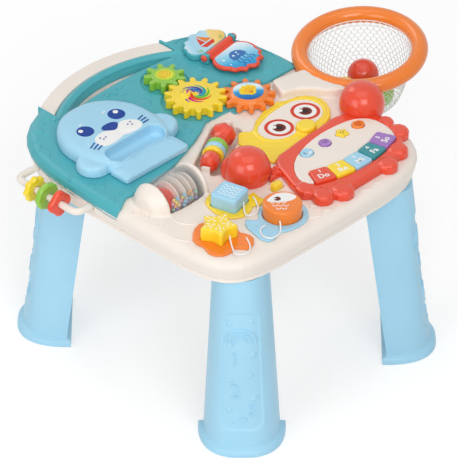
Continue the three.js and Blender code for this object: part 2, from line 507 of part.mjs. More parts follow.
function tealCover() {
  const inside = tableBody(SKIRT_Z, DECK_Z + SEAT_GAP, SEAT_GAP);
  const cap = cut(tableBody(SKIRT_Z, COVER_TOP, COVER.overhang), inside);
  const region = prism(new THREE.Shape(onTable(coverShares)), DECK_Z - COVER.drop, COVER_TOP + OVERRUN);
  const wallX = HANDLE.trenchX;
  const clearing = prism(handleBand(HANDLE.slotRadius - SEAT_GAP, 2 * HANDLE_OUTER, wallX - WALL / 2),
    SKIRT_Z, COVER_TOP + OVERRUN);
  const plate = cut(cap.intersect(region), clearing, prism(slotShape(0), SKIRT_Z, COVER_TOP + OVERRUN),
    handleBase(SEAT_GAP));
  const bandBottom = HANDLE_BASE_TOP + SEAT_GAP;
  const band = prism(handleBand(HANDLE.slotRadius, HANDLE_OUTER, wallX), bandBottom, HANDLE_BAND_TOP);
  const wall = cut(prism(handleBand(HANDLE.slotRadius, HANDLE_OUTER, wallX), bandBottom, COVER_TOP),
    prism(handleBand(HANDLE.slotRadius - OVERRUN, 2 * HANDLE_OUTER, wallX - WALL), SKIRT_Z, COVER_TOP + OVERRUN));
  const cover = join(plate, band, wall, railTube());
  const gears = [YELLOW_GEAR, GREEN_GEAR, ORANGE_GEAR];
  const pocketed = cut(cover, ...gears.map(gearRecess), drumClearing(), blockRoom(), ...railHoles(),
    solid(hoopTorus(HOOP.saddleGap)));
  return join(pocketed, ...gears.map(gearPost));
}

// The cover stops short of the drum's mound all round
function drumClearing() {
  const radius = DRUM.endRadius + DRUM.collar + SEAT_GAP;
  const length = DRUM.length + 2 * DRUM.mound + 2 * DRUM.collar;
  return solid(alongX(turned([[0, -length / 2], [radius, -length / 2], [radius, length / 2], [0, length / 2]], 28),
    DRUM.x, DRUM.y, DECK_Z));
}

function handleGrip() {
  const inner = HANDLE_RAIL + HANDLE.railRadius + SEAT_GAP;
  const band = handleBand(inner, HANDLE_OUTER - HANDLE.rim, HANDLE.trenchX - WALL - SEAT_GAP, 18);
  return raised(band, HANDLE.gripHeight, { bevel: HANDLE.gripRound }).translate(0, 0, HANDLE_BAND_TOP + SEAT_GAP);
}

// Bottom cover with leg sockets, battery door and bosses for the sound board
const LIP_Z = SKIRT_Z - SEAT_GAP - LIP_HEIGHT;
const FLOOR_TOP = LIP_Z + COVER_FLOOR;
const corners = [['front_left', -1, -1], ['front_right', 1, -1], ['back_left', -1, 1], ['back_right', 1, 1]];
const doorShape = (grow) => roundedRectangle(DOOR.width / 2 + grow, DOOR.depth / 2 + grow, DOOR.round);

function boardBosses() {
  return [[-1, -1], [1, -1], [-1, 1], [1, 1]].map(([x, y]) => {
    const boss = new THREE.CylinderGeometry(BOARD.boss, BOARD.boss, BOARD.stand + COVER_FLOOR, 10)
      .rotateX(Math.PI / 2);
    return solid(boss.translate(BOARD.x + x * (BOARD.width / 2 - 2 * BOARD.boss),
      BOARD.y + y * (BOARD.depth / 2 - 2 * BOARD.boss), LIP_Z + (BOARD.stand + COVER_FLOOR) / 2));
  });
}

function bottomCover() {
  const outer = solid(loft([tableLoop(-LIP_INSET - COVER_FLOOR, LIP_Z),
    tableLoop(-LIP_INSET, LIP_Z + COVER_FLOOR), tableLoop(-LIP_INSET, LIP_Z + LIP_HEIGHT)]));
  const inner = solid(loft([FLOOR_TOP, SKIRT_Z + OVERRUN].map((z) =>
    tableLoop(-LIP_INSET - WALL - INSIDE_SAG, z, INSIDE_STEPS))));
  const tray = cut(outer, inner);
  const back = prism(backStrip(), LIP_Z - OVERRUN, SKIRT_Z + OVERRUN);
  const sockets = corners.map(([, x, y]) => solid(legPlug(x, y, PLUG_GAP, LIP_Z - OVERRUN, FLOOR_TOP + OVERRUN)));
  const door = prism(doorShape(SEAT_GAP), LIP_Z - OVERRUN, FLOOR_TOP + OVERRUN).translate(DOOR.x, DOOR.y, 0);
  return cut(join(cut(tray, back), ...boardBosses()), ...sockets, door);
}

function batteryDoor() {
  return cut(prism(doorShape(0), LIP_Z, FLOOR_TOP), ...[-1, 0, 1].map((i) => {
    const rib = new THREE.BoxGeometry(DOOR.ribWidth, DOOR.depth / 2, 2 * DOOR.ribDepth);
    return solid(rib.translate(i * 2 * DOOR.ribWidth, 0, LIP_Z));
  }));
}

function soundBoard() {
  const z = FLOOR_TOP + BOARD.stand + SEAT_GAP;
  const board = new THREE.BoxGeometry(BOARD.width, BOARD.depth, BOARD.thick).translate(0, 0, z + BOARD.thick / 2);
  const cone = turned([[0, z], [SPEAKER.radius, z], [SPEAKER.radius, z + BOARD.thick + SPEAKER.rim],
    [SPEAKER.radius * SPEAKER.capShare, z + SPEAKER.height], [0, z + SPEAKER.height]], 20);
  return join(solid(board), solid(cone));
}

// Legs: a D-shaped section that leans out and widens down to a flange at the floor
const LEG_TOP = LIP_Z - SEAT_GAP;
const LEG_ARC_STEPS = 10;
const mix = THREE.MathUtils.lerp;

function legLoop(sideX, sideY, share, z, { grow = 0, inset = 0 } = {}) {
  const width = mix(LEG.footWidth, LEG.topWidth, share) / 2 + grow;
  const depth = mix(LEG.footDepth, LEG.topDepth, share) + 2 * grow;
  const tip = new THREE.Vector2(sideX * mix(LEG.footX, LEG.topX, share), sideY * mix(LEG.footY, LEG.topY, share));
  const out = new THREE.Vector2(sideX, sideY).normalize();
  const across = new THREE.Vector2(-out.y, out.x);
  return Array.from({ length: LEG_ARC_STEPS + 1 }, (_, i) => {
    const turn = Math.PI * (i / LEG_ARC_STEPS - 1 / 2);
    const hollow = Math.abs(i - LEG_ARC_STEPS / 2) < LEG.panelSteps ? inset : 0;
    const u = grow - depth + depth * Math.cos(turn) ** LEG.fullness - hollow;
    const v = width * Math.sign(Math.sin(turn)) * Math.abs(Math.sin(turn)) ** LEG.fullness;
    const point = tip.clone().addScaledVector(out, u).addScaledVector(across, v);
    return new THREE.Vector3(point.x, point.y, z);
  });
}

const legPlug = (x, y, grow, bottom, top) => loft([bottom, top].map((z) =>
  legLoop(x, y, 1, z, { grow: grow - LEG.plugInset })));

function leg(x, y) {
  const low = LEG.flangeHeight + LEG.panelMargin;
  const high = LEG_TOP - LEG.panelMargin;
  const share = (z) => (z - LEG.flangeHeight) / (LEG_TOP - LEG.flangeHeight);
  const level = (z, options) => legLoop(x, y, share(z), z, options);
  const shaft = solid(loft([level(0), level(low), level(low + LEG.panelDepth, { inset: LEG.panelDepth }),
    level(high - LEG.panelDepth, { inset: LEG.panelDepth }), level(high), level(LEG_TOP)]));
  const flange = solid(loft([level(0, { grow: LEG.flange }),
    level(LEG.flangeHeight / 2, { grow: LEG.flange }), level(LEG.flangeHeight, { grow: LEG.flange / 3 })]));
  const plug = solid(legPlug(x, y, 0, LEG_TOP - WALL, FLOOR_TOP + LEG.plugInset / 2));
  const hollow = solid(loft([level(-OVERRUN, { grow: -LEG.wall }), level(LEG_TOP - WALL, { grow: -LEG.wall })]));
  return cut(join(shaft, flange, plug), hollow);
}

// Gears: involute teeth from the module, the same for all three so that they mesh
function gearLoop(spec, phase, z) {
  const pitch = GEAR.module * spec.teeth / 2;
  const pressure = toRadians(GEAR.pressure);
  const base = pitch * Math.cos(pressure);
  const outer = outerRadius(spec);
  const root = pitch - GEAR.module * GEAR.addendumShare - GEAR.rootGap;
  const involute = (angle) => Math.tan(angle) - angle;
  const pitchHalf = (Math.PI * GEAR.module / 2 - GEAR.backlash) / (2 * pitch);
  const half = (r) => pitchHalf + involute(pressure) - involute(Math.acos(Math.min(1, base / r)));
  const radii = [root, pitch, outer - GEAR.tipRound, outer];
  const halves = radii.map((r, i) => half(Math.max(r, base)) - (i === 3 ? GEAR.tipRound / outer : 0));
  const flank = radii.map((r, i) => [r, halves[i]]);
  const tooth = [...flank.map(([r, h]) => [r, -h]), ...flank.toReversed().map(([r, h]) => [r, h])];
  return Array.from({ length: spec.teeth }, (_, k) => tooth.map(([r, h]) => {
    const turn = phase + 2 * Math.PI * k / spec.teeth + h;
    return new THREE.Vector3(r * Math.cos(turn), r * Math.sin(turn), z);
  })).flat();
}

function meshedPhase(spec) {
  if (spec === YELLOW_GEAR) return 0;
  const bearing = toRadians(spec.bearing);
  return bearing + Math.PI + (YELLOW_GEAR.teeth * bearing - Math.PI) / spec.teeth;
}

function gear(spec) {
  const phase = meshedPhase(spec);
  const wheel = solid(loft([gearLoop(spec, phase, 0), gearLoop(spec, phase, spec.thick)]));
  const r = spec.discRadius;
  const disc = turned([[0, spec.thick - GEAR.capThick / 2], [r, spec.thick - GEAR.capThick / 2],
    ...DISC_SHARES.map(([across, up]) => [across * r, spec.thick + up * spec.discRise])], 18);
  const bore = new THREE.CylinderGeometry(GEAR.postRadius + GEAR.boreGap, GEAR.postRadius + GEAR.boreGap,
    2 * (spec.thick - GEAR.capThick), 16).rotateX(Math.PI / 2);
  const parts = [wheel, solid(disc)];
  if (spec === YELLOW_GEAR) parts.push(fingerKnob());
  return cut(join(...parts), solid(bore));
}

function fingerKnob() {
  const place = at(KNOB.offset, KNOB.bearing);
  const top = YELLOW_GEAR.thick + YELLOW_GEAR.discRise;
  const knob = turned([[0, top - KNOB.height], [KNOB.radius, top - KNOB.height],
    ...KNOB_SHARES.map(([across, up]) => [across * KNOB.radius, top + up * KNOB.height])], 12);
  return solid(knob.translate(place.x, place.y, 0));
}

// A pad whose top swells: copies of one outline drawn in towards a centre as they rise
function domed(points, centre, height, levels) {
  return loft(levels.map(([share, rise]) => points.map((p) =>
    new THREE.Vector3(centre.x + (p.x - centre.x) * share, centre.y + (p.y - centre.y) * share, rise * height))));
}
const softShares = [[1, 0], [1, 0.5], [0.97, 0.75], [0.87, 0.94], [0.66, 1]];
const muzzleShares = [[1, 0], [1, 0.97], [0.9, 1]];
const counterClockwise = (points) => (THREE.ShapeUtils.isClockWise(points) ? points.toReversed() : points);
const smoothPoints = (points, steps) => counterClockwise(outline(points, steps).getPoints(1).slice(0, steps));
const ellipse = (x, y, halfWidth, halfDepth, steps = 16) => Array.from({ length: steps }, (_, i) => {
  const turn = 2 * Math.PI * i / steps;
  return new THREE.Vector2(x + halfWidth * Math.cos(turn), y + halfDepth * Math.sin(turn));
});

// Seal console: head, two flippers and a front tray with a scoop between them
function sealConsole() {
  const z = COVER_TOP + SEAT_GAP;
  const middle = new THREE.Vector2(SEAL.x, SEAL.y);
  const right = SEAL_SHARES.map(([x, y]) => [x * SEAL.halfWidth, y * SEAL.halfDepth]);
  const left = right.slice(1, -1).toReversed().map(([x, y]) => [-x, y]);
  const headPoints = smoothPoints(pointsFrom([...right, ...left]).map((p) => p.add(middle)), 32);
  const head = domed(headPoints, middle, SEAL.height, softShares);
  const flippers = [-1, 1].map((side) => {
    const centre = new THREE.Vector2(SEAL.x + side * SEAL.flipperX, SEAL.flipperY);
    return solid(domed(ellipse(centre.x, centre.y, SEAL.flipper, SEAL.flipper), centre, SEAL.flipperHeight,
      softShares));
  });
  const tray = raised(roundedRectangle(SEAL.trayHalf, SEAL.trayDepth / 2, SEAL.trayRound), SEAL.trayHeight,
    { bevel: SEAL.trayBevel, bevelSteps: 1, curveSegments: 3 });
  const step = raised(roundedRectangle(SEAL.trayHalf - SEAL.trayStep, SEAL.trayDepth / 2 - SEAL.trayStep,
    SEAL.trayRound), SEAL.trayHeight + SEAL.trayBevel, { bevel: SEAL.trayBevel, bevelSteps: 1, curveSegments: 3 });
  const muzzle = [-1, 1].map((side) => {
    const centre = new THREE.Vector2(SEAL.x + side * SEAL.muzzleX, SEAL.muzzleY);
    return solid(domed(ellipse(centre.x, centre.y, SEAL.muzzle, SEAL.muzzle * SEAL.muzzleShare), centre,
      SEAL.height + SEAL.muzzleRise, muzzleShares));
  });
  const scoop = raised(roundedRectangle(SEAL.scoopHalf, SEAL.scoopDepth / 2, SEAL.scoopDepth / 2), 2 * SEAL.height,
    { bevel: SEAL.trayRound, curveSegments: 5, lowerToo: true });
  const body = join(solid(head), ...flippers, solid(moved(tray, SEAL.x, SEAL.trayY, 0)),
    solid(moved(step, SEAL.x, SEAL.trayY, 0)), ...muzzle);
  return cut(body, solid(moved(scoop, SEAL.x, SEAL.scoopY, SEAL.scoopFloor))).translate(0, 0, z);
}

// Picture book: a fixed pad and a page that swings about the red spine
const bookTurn = toRadians(BOOK.bearing);
const bookPlace = (geometry, z) => geometry.rotateZ(bookTurn).translate(BOOK.spineX, BOOK.spineY, z);
const BOOK_Z = COVER_TOP + SEAT_GAP;
const SPINE_Z = BOOK_Z + BOOK.padHeight;

// A scalloped shell outline in the book's frame: u along the spine, v away from it
const scalloped = (reach, side) => smoothPoints(SHELL_SHARES.map(([u, v]) => new THREE.Vector2(
  u * BOOK.spineLength / 2, side * (BOOK.hingeGap + v * (reach - BOOK.hingeGap)))), 40)
  .map((p) => new THREE.Vector2(p.x, side * Math.max(side * p.y, BOOK.hingeGap)));

function bookBase() {
  const pad = raised(new THREE.Shape(scalloped(BOOK.padReach, 1)), BOOK.padHeight,
    { bevel: BOOK.edge, bevelSteps: 1 });
  const cheeks = [-1, 1].map((side) => {
    const cheek = new THREE.BoxGeometry(BOOK.cheek, 2 * BOOK.spineRadius, SPINE_Z - BOOK_Z + BOOK.spineRadius);
    return solid(cheek.translate(side * (BOOK.spineLength - BOOK.cheek) / 2, 0,
      (SPINE_Z - BOOK_Z + BOOK.spineRadius) / 2));
  });
  const seat = new THREE.BoxGeometry(BOOK.spineLength, 2 * BOOK.hingeGap + BOOK.edge, BOOK.seat)
    .translate(0, BOOK.edge / 2, BOOK.seat / 2);
  const holes = spinePin(RUN_GAP, BOOK.spineLength + OVERRUN);
  const body = cut(join(solid(pad), solid(seat), ...cheeks), holes.translate(0, 0, SPINE_Z - BOOK_Z));
  return body.rotate(0, 0, BOOK.bearing).translate(BOOK.spineX, BOOK.spineY, BOOK_Z);
}

const spinePin = (grow, length) => solid(new THREE.CylinderGeometry(BOOK.pinRadius + grow,
  BOOK.pinRadius + grow, length, 12).rotateZ(Math.PI / 2));

// The page's knuckle turns on the spine's pin, between the two cheeks
function bookPage() {
  const span = BOOK.spineLength - 2 * BOOK.cheek - 2 * RUN_GAP;
  const page = raised(new THREE.Shape(scalloped(BOOK.pageReach, -1)), BOOK.pageThick,
    { bevel: BOOK.edge, bevelSteps: 1 }).translate(0, 0, -BOOK.pageThick - BOOK.pageDrop);
  const knuckle = new THREE.CylinderGeometry(BOOK.spineRadius, BOOK.spineRadius, span, 12).rotateZ(Math.PI / 2);
  const web = new THREE.BoxGeometry(span - 2 * BOOK.edge, BOOK.hingeGap + BOOK.edge, BOOK.pageThick - BOOK.edge)
    .translate(0, -(BOOK.hingeGap + BOOK.edge) / 2, -BOOK.pageDrop - BOOK.pageThick / 2);
  return cut(join(solid(page), solid(knuckle), solid(web)), spinePin(RUN_GAP, BOOK.spineLength))
    .rotate(0, 0, BOOK.bearing).translate(BOOK.spineX, BOOK.spineY, SPINE_Z);
}

function bookSpine() {
  const half = BOOK.spineLength / 2 + BOOK.headLength;
  const head = BOOK.spineLength / 2 + SEAT_GAP;
  const profile = [[0, -half], [BOOK.spineRadius * HEAD_TIP_SHARE, -half], [BOOK.spineRadius, -head - BOOK.edge],
    [BOOK.spineRadius, -head], [BOOK.pinRadius, -head], [BOOK.pinRadius, head], [BOOK.spineRadius, head],
    [BOOK.spineRadius, head + BOOK.edge], [BOOK.spineRadius * HEAD_TIP_SHARE, half], [0, half]];
  return bookPlace(turned(profile, 10).rotateY(Math.PI / 2), SPINE_Z);
}

// Roller drum: a clear barrel, a core on the axle with vanes, and loose beads
function drumShell() {
  const outside = turned(barrel(0, DRUM.length), 20);
  const inside = turned(barrel(-DRUM.wall, DRUM.length - 2 * DRUM.wall), 20);
  const bore = new THREE.CylinderGeometry(DRUM.axleRadius + SEAT_GAP, DRUM.axleRadius + SEAT_GAP,
    DRUM.length + OVERRUN, 12).rotateX(Math.PI / 2);
  return cut(solid(outside), solid(inside), solid(bore)).rotate(0, 90, 0).translate(DRUM.x, DRUM.y, DECK_Z);
}

function drumCore() {
  const half = DRUM.length / 2;
  const axleHalf = half + DRUM.axleReach;
  const axle = turned([[0, -axleHalf], [DRUM.axleRadius, -axleHalf], [DRUM.axleRadius, axleHalf], [0, axleHalf]],
    12);
  const discs = DRUM_DISC_SHARES.map(([share, size]) => {
    const z = share * DRUM.length;
    const r = size * DRUM.endRadius;
    return solid(turned([[0, z - DRUM.vaneThick / 2], [r, z - DRUM.vaneThick / 2], [r, z + DRUM.vaneThick / 2],
      [0, z + DRUM.vaneThick / 2]], 12));
  });
  return join(solid(axle), ...discs).rotate(0, 90, 0).translate(DRUM.x, DRUM.y, DECK_Z);
}

// The loose beads lie at the bottom in a heap and are one body: each sinks a little into its neighbours
function drumBeads() {
  const pitch = 2 * DRUM.beadRadius - DRUM.beadSink;
  const layer = DRUM.midRadius - DRUM.wall - DRUM.beadRadius - DRUM.beadLift;
  const beads = [-0.5, 0.5].flatMap((row) => Array.from({ length: DRUM.beadRow }, (_, i) => {
    const y = row * pitch;
    const sphere = new THREE.IcosahedronGeometry(DRUM.beadRadius);
    return solid(sphere.translate(DRUM.x + DRUM.beadStart + i * pitch, DRUM.y + y,
      DECK_Z - Math.sqrt(layer ** 2 - y ** 2)));
  }));
  return join(...beads);
}

// Spindle: axle, head and tail turn together, with three loose rings between them
const alongSpindle = (geometry) => squidPlace(geometry.rotateY(Math.PI / 2).translate(0, 0, SQUID_Z));

function squidAxle() {
  const half = SQUID.troughLength / 2 - SQUID.axleEnd;
  return alongSpindle(turned([[0, -half], [SQUID.axleRadius, -half], [SQUID.axleRadius, half], [0, half]], 12));
}

const spindleBore = (grow) => new THREE.CylinderGeometry(SQUID.axleRadius + grow, SQUID.axleRadius + grow,
  2 * SQUID.troughLength, 12).rotateX(Math.PI / 2);

function onSpindle(profile, segments, grow) {
  const body = cut(solid(turned(profile, segments)), solid(spindleBore(grow)));
  return body.rotate(0, 90, 0).translate(0, 0, SQUID_Z).rotate(0, 0, SQUID.bearing).translate(SQUID.x, SQUID.y, 0);
}

const squidHead = () => onSpindle([[0, SQUID.headStart], ...SQUID_HEAD_SHARES.map(([r, s]) =>
  [r * SQUID.headRadius, SQUID.headStart + s * SQUID.headLength]), [0, SQUID.headStart + SQUID.headLength]], 8,
SEAT_GAP);

const squidTail = () => onSpindle([[0, SQUID.tailStart], ...SQUID_TAIL_SHARES.map(([r, s]) =>
  [r * SQUID.tailRadius, SQUID.tailStart + s * SQUID.tailLength]), [0, SQUID.tailStart + SQUID.tailLength]], 12,
SEAT_GAP);

function squidRing(index) {
  const start = SQUID.headStart - SQUID.ringGap - (index + 1) * SQUID.ringWidth - index * SQUID.ringGap;
  const end = start + SQUID.ringWidth;
  const r = SQUID.ringRadius;
  const soft = SQUID.ringRound;
  const profile = [[0, start], [r - soft, start], [r, start + soft], [r, end - soft], [r - soft, end], [0, end]];
  return onSpindle(profile, 14, RUN_GAP);
}

// A prism over an outline that is grown all round by one amount
function grownPrism(points, grow, bottom, top) {
  const section = new wasm.CrossSection([points.map((p) => [p.x, p.y])], 'Positive');
  const grown = grow ? section.offset(grow, 'Miter') : section;
  return wasm.Manifold.extrude(grown, top - bottom).translate(0, 0, bottom);
}

// A polygon with its corners rounded off
function softPolygon(points, radius) {
  const shape = new THREE.Shape();
  const count = points.length;
  points.forEach((corner, i) => {
    const before = points[(i + count - 1) % count];
    const after = points[(i + 1) % count];
    const start = corner.clone().add(before.clone().sub(corner).setLength(radius));
    const end = corner.clone().add(after.clone().sub(corner).setLength(radius));
    if (i === 0) shape.moveTo(start.x, start.y);
    else shape.lineTo(start.x, start.y);
    shape.quadraticCurveTo(corner.x, corner.y, end.x, end.y);
  });
  return shape;
}

// An outline whose points are shares of a reach about a centre, straight or curved
const placed = (shares, { x, y, reach }) => shares.map(([u, v]) =>
  new THREE.Vector2(x + u * reach, y + v * reach));
const curved = (shares, spec, steps) => smoothPoints(placed(shares, spec), steps);

// Crab keyboard
const CRAB_Z = DECK_Z + SEAT_GAP;
const CRAB_TOP = CRAB_Z + CRAB.height;
const PANEL_TOP = CRAB_TOP + CRAB.panelRise;
const KEY_TOP = PANEL_TOP + KEY.rise;
const BUTTON_TOP = PANEL_TOP + BUTTON.rise;
const lobeShares = [[1, 0], [1, 0.6], [0.88, 0.9], [0.6, 1]];
const crabOutline = () => curved(CRAB_SHARES, CRAB, 36);
const claws = [new THREE.Vector2(CLAW.leftX, CLAW.leftY), new THREE.Vector2(CLAW.rightX, CLAW.rightY)];

// Wedge-shaped outline of one key in the fan
function keyOutline(index, grow) {
  const middle = (index - (KEY_NAMES.length - 1) / 2) * KEY.pitchAngle;
  const halfAngle = (radius) => KEY.pitchAngle / 2 - THREE.MathUtils.radToDeg((KEY.gap / 2 - grow) / radius);
  const corner = (radius, side) => at(radius, middle + side * halfAngle(radius) - QUARTER_TURN)
    .add(new THREE.Vector2(KEY.arcX, KEY.arcY));
  const inner = KEY.arcRadius - KEY.depth / 2 - grow;
  const outer = KEY.arcRadius + KEY.depth / 2 + grow;
  return counterClockwise([corner(inner, -1), corner(inner, 1), corner(outer, 1), corner(outer, -1)]);
}

function key(index) {
  const shape = softPolygon(keyOutline(index, 0), KEY.round);
  return raised(shape, KEY.height, { bevel: KEY.bevel, curveSegments: 3 }).translate(0, 0, KEY_TOP - KEY.height);
}

const keyPocket = (index) => prism(softPolygon(keyOutline(index, KEY.gap), KEY.round),
  KEY_TOP - KEY.height - KEY.travel, KEY_TOP + OVERRUN);

// Button outlines: waves round a circle, or a fish shape drawn out to one side
function buttonOutline(index, grow) {
  const [count, depth, stretch] = BUTTON_WAVE_SHARES[index];
  const place = buttonMiddle(index);
  return Array.from({ length: BUTTON.steps }, (_, i) => {
    const turn = 2 * Math.PI * i / BUTTON.steps;
    const radius = BUTTON.size * (1 + depth * Math.cos(count * (turn - Math.PI / 2))) + grow;
    return new THREE.Vector2(place.x + radius * stretch * Math.cos(turn), place.y + radius * Math.sin(turn));
  });
}

const buttonMiddle = (index) => new THREE.Vector2(BUTTON.rowX[index],
  BUTTON.rowY + BUTTON.bow * (1 - ((BUTTON.rowX[index] - KEY.arcX) / CRAB.halfWidth) ** 2));

const button = (index) => raised(new THREE.Shape(buttonOutline(index, 0)), BUTTON.height,
  { bevel: BUTTON.bevel, bevelSteps: 1 }).translate(0, 0, BUTTON_TOP - BUTTON.height);
const buttonPocket = (index) => prism(new THREE.Shape(buttonOutline(index, BUTTON.gap)),
  BUTTON_TOP - BUTTON.height - BUTTON.travel, BUTTON_TOP + OVERRUN);
const allPockets = () => [...KEY_NAMES.map((_, i) => keyPocket(i)),
  ...BUTTON_WAVE_SHARES.map((_, i) => buttonPocket(i))];

function crabBody() {
  const shell = prism(new THREE.Shape(crabOutline()), CRAB_Z, CRAB_TOP, { bevel: CRAB.round, bevelSteps: 2 });
  const lobeCentres = placed(LOBE_SHARES, CRAB);
  const lobes = LOBE_SHARES.map(([, , share], i) => {
    const centre = lobeCentres[i];
    const r = share * CRAB.reach;
    return solid(domed(ellipse(centre.x, centre.y, r, r, 10), centre, CRAB.lobeHeight, lobeShares)
      .translate(0, 0, CRAB_Z));
  });
  const arm = new THREE.BoxGeometry(CRAB.armLength, CRAB.armWidth, CRAB.armHeight)
    .translate(CRAB.armX, CRAB.armY, CRAB_Z + CRAB.armHeight / 2);
  const ribs = [-1, 0, 1].map((i) => {
    const rib = new THREE.CylinderGeometry(CRAB.ribRadius, CRAB.ribRadius, CRAB.armWidth, 6);
    return solid(rib.translate(CRAB.armX + i * 3 * CRAB.ribRadius, CRAB.armY, CRAB_Z + CRAB.armHeight));
  });
  const pocket = grownPrism(panelOutline(), SEAT_GAP, CRAB_TOP - CRAB.panelThick, CRAB_TOP + OVERRUN);
  const room = claws.map((centre) => grownPrism(ellipse(centre.x, centre.y, CLAW.radius, CLAW.radius, 16),
    2 * SEAT_GAP, CRAB_Z - OVERRUN, CRAB_Z + CLAW.height));
  return cut(join(shell, ...lobes, solid(arm), ...ribs), pocket, ...room, ...allPockets());
}

function panelOutline() {
  const half = (KEY_NAMES.length / 2) * KEY.pitchAngle - 1;
  const bottom = Array.from({ length: 7 }, (_, i) => at(KEY.arcRadius, half * (i / 3 - 1) - QUARTER_TURN)
    .add(new THREE.Vector2(KEY.arcX, KEY.arcY)));
  return smoothPoints([...placed(PANEL_SHARES, CRAB), ...bottom], 34);
}

function crabPanel() {
  const plate = grownPrism(panelOutline(), 0, CRAB_TOP - CRAB.panelThick + SEAT_GAP, PANEL_TOP);
  return cut(plate, ...allPockets());
}

// Claws: a big round lobe and a small one, swelling like the palm and thumb of a mitten
const clawShares = [[0.93, 0], [1, 0.25], [0.97, 0.5], [0.8, 0.78], [0.5, 0.95], [0.15, 1]];

function claw(centre, thumbBearing) {
  const palm = domed(ellipse(centre.x, centre.y, CLAW.radius, CLAW.radius, 16), centre, CLAW.height, clawShares);
  const thumb = at(CLAW.radius - CLAW.jaw * CLAW.jawShare, thumbBearing).add(centre);
  const lobe = domed(ellipse(thumb.x, thumb.y, CLAW.jaw, CLAW.jaw, 10), thumb, CLAW.height * CLAW.jawShare,
    clawShares);
  return join(solid(palm), solid(lobe)).translate(0, 0, DECK_Z + SEAT_GAP);
}

// Owl: a yellow plate, a cream face let into it and a round beak
const owlOutline = () => curved(OWL_SHARES, OWL, 36);
const faceOutline = () => curved(FACE_SHARES, OWL, 24);
const OWL_TOP = DECK_Z + SEAT_GAP + OWL.plate;

function owlBody() {
  const plate = prism(new THREE.Shape(owlOutline()), DECK_Z + SEAT_GAP, OWL_TOP, { bevel: OWL.edge, bevelSteps: 1 });
  const rim = cut(grownPrism(faceOutline(), OWL.rim, DECK_Z + SEAT_GAP, OWL_TOP + OWL.rimRise),
    grownPrism(faceOutline(), SEAT_GAP, OWL_TOP, OWL_TOP + OVERRUN));
  const recess = grownPrism(faceOutline(), SEAT_GAP, OWL_TOP - OWL.faceDrop, OWL_TOP + OVERRUN);
  const beakPlace = new THREE.Vector2(OWL.beakX, OWL.beakY);
  const beak = domed(ellipse(OWL.beakX, OWL.beakY, OWL.beakWidth, OWL.beakDepth, 20), beakPlace,
    OWL.plate + OWL.beakHeight, softShares);
  const crabRoom = grownPrism(crabOutline(), SEAT_GAP, DECK_Z - OVERRUN, CRAB_TOP + OVERRUN);
  const owl = join(cut(join(plate, rim), recess), solid(beak.translate(0, 0, DECK_Z + SEAT_GAP)));
  return cut(owl, crabRoom, blockRoom(), gearRoom());
}

// Room for the orange gear, whose teeth reach over the owl's ear
function gearRoom() {
  const place = gearPlace(ORANGE_GEAR);
  const reach = outerRadius(ORANGE_GEAR) + GEAR.boreGap + SEAT_GAP;
  return grownPrism(ellipse(place.x, place.y, reach, reach, 24), 0, DECK_Z, DECK_Z + 2 * ORANGE_GEAR.thick);
}

function owlFace() {
  const plate = grownPrism(faceOutline(), 0, OWL_TOP - OWL.faceDrop + SEAT_GAP, OWL_TOP + OWL.faceRise);
  const beakRoom = grownPrism(ellipse(OWL.beakX, OWL.beakY, OWL.beakWidth, OWL.beakDepth, 20), SEAT_GAP,
    DECK_Z, OWL_TOP + OWL.beakHeight);
  return cut(plate, beakRoom);
}

function powerSwitch() {
  const knob = raised(roundedRectangle(SWITCH.width / 2, SWITCH.depth / 2 - SEAT_GAP, SWITCH.slot),
    SWITCH.height + SWITCH.sunk - SEAT_GAP, { bevel: SWITCH.bevel, bevelSteps: 1, curveSegments: 3 });
  return moved(knob, SWITCH.x, SWITCH.y, SWITCH_FLOOR + SEAT_GAP);
}

// Shape sorter: three pegs, each standing in a fish-shaped plate and tied to it by a cord
const PEG_Z = DECK_Z - PEG.sunk + SEAT_GAP;
const pegs = { square: SQUARE_PEG, round: ROUND_PEG, star: STAR_PEG };

function pegShape(kind, grow) {
  if (kind === 'round') {
    return new THREE.Shape(ellipse(ROUND_PEG.x, ROUND_PEG.y, ROUND_PEG.radius + grow, ROUND_PEG.radius + grow, 20));
  }
  if (kind === 'square') {
    const reach = (SQUARE_PEG.half + grow) * Math.SQRT2;
    const tips = [0, 1, 2, 3].map((i) => at(reach, (i + 1 / 2) * QUARTER_TURN + SQUARE_PEG.bearing)
      .add(new THREE.Vector2(SQUARE_PEG.x, SQUARE_PEG.y)));
    return softPolygon(tips, PEG.round);
  }
  const tips = Array.from({ length: 2 * STAR_PEG.tipCount }, (_, i) =>
    at((i % 2 ? STAR_PEG.inner : STAR_PEG.outer) + grow, QUARTER_TURN + 2 * i * QUARTER_TURN / STAR_PEG.tipCount)
      .add(new THREE.Vector2(STAR_PEG.x, STAR_PEG.y)));
  return softPolygon(tips, STAR_PEG.round);
}

const peg = (kind) => raised(pegShape(kind, 0), PEG.height, { bevel: PEG.bevel, curveSegments: 3 })
  .translate(0, 0, PEG_Z);

function plate(kind) {
  const shape = new THREE.Shape(curved(PLATE_SHARES[kind], { ...pegs[kind], reach: PLATE.reach }, 26));
  const fish = prism(shape, DECK_Z + SEAT_GAP, DECK_Z + SEAT_GAP + PLATE.thick,
    { bevel: PLATE.edge, bevelSteps: 1 });
  return cut(fish, prism(pegShape(kind, PEG.gap), DECK_Z - OVERRUN, DECK_Z + 2 * OVERRUN));
}

function closedTube(path, steps, radius, sides) {
  const section = new THREE.Shape().absarc(0, 0, radius, 0, 2 * Math.PI);
  return solid(new THREE.ExtrudeGeometry(section, { steps, extrudePath: path, curveSegments: sides }));
}

const cordTube = (kind) => closedTube(new THREE.CatmullRomCurve3(CORD_ROUTES[kind].map(([x, y, z]) =>
  new THREE.Vector3(x, y, z))), CORD.steps, CORD.radius, CORD.sides / 2);

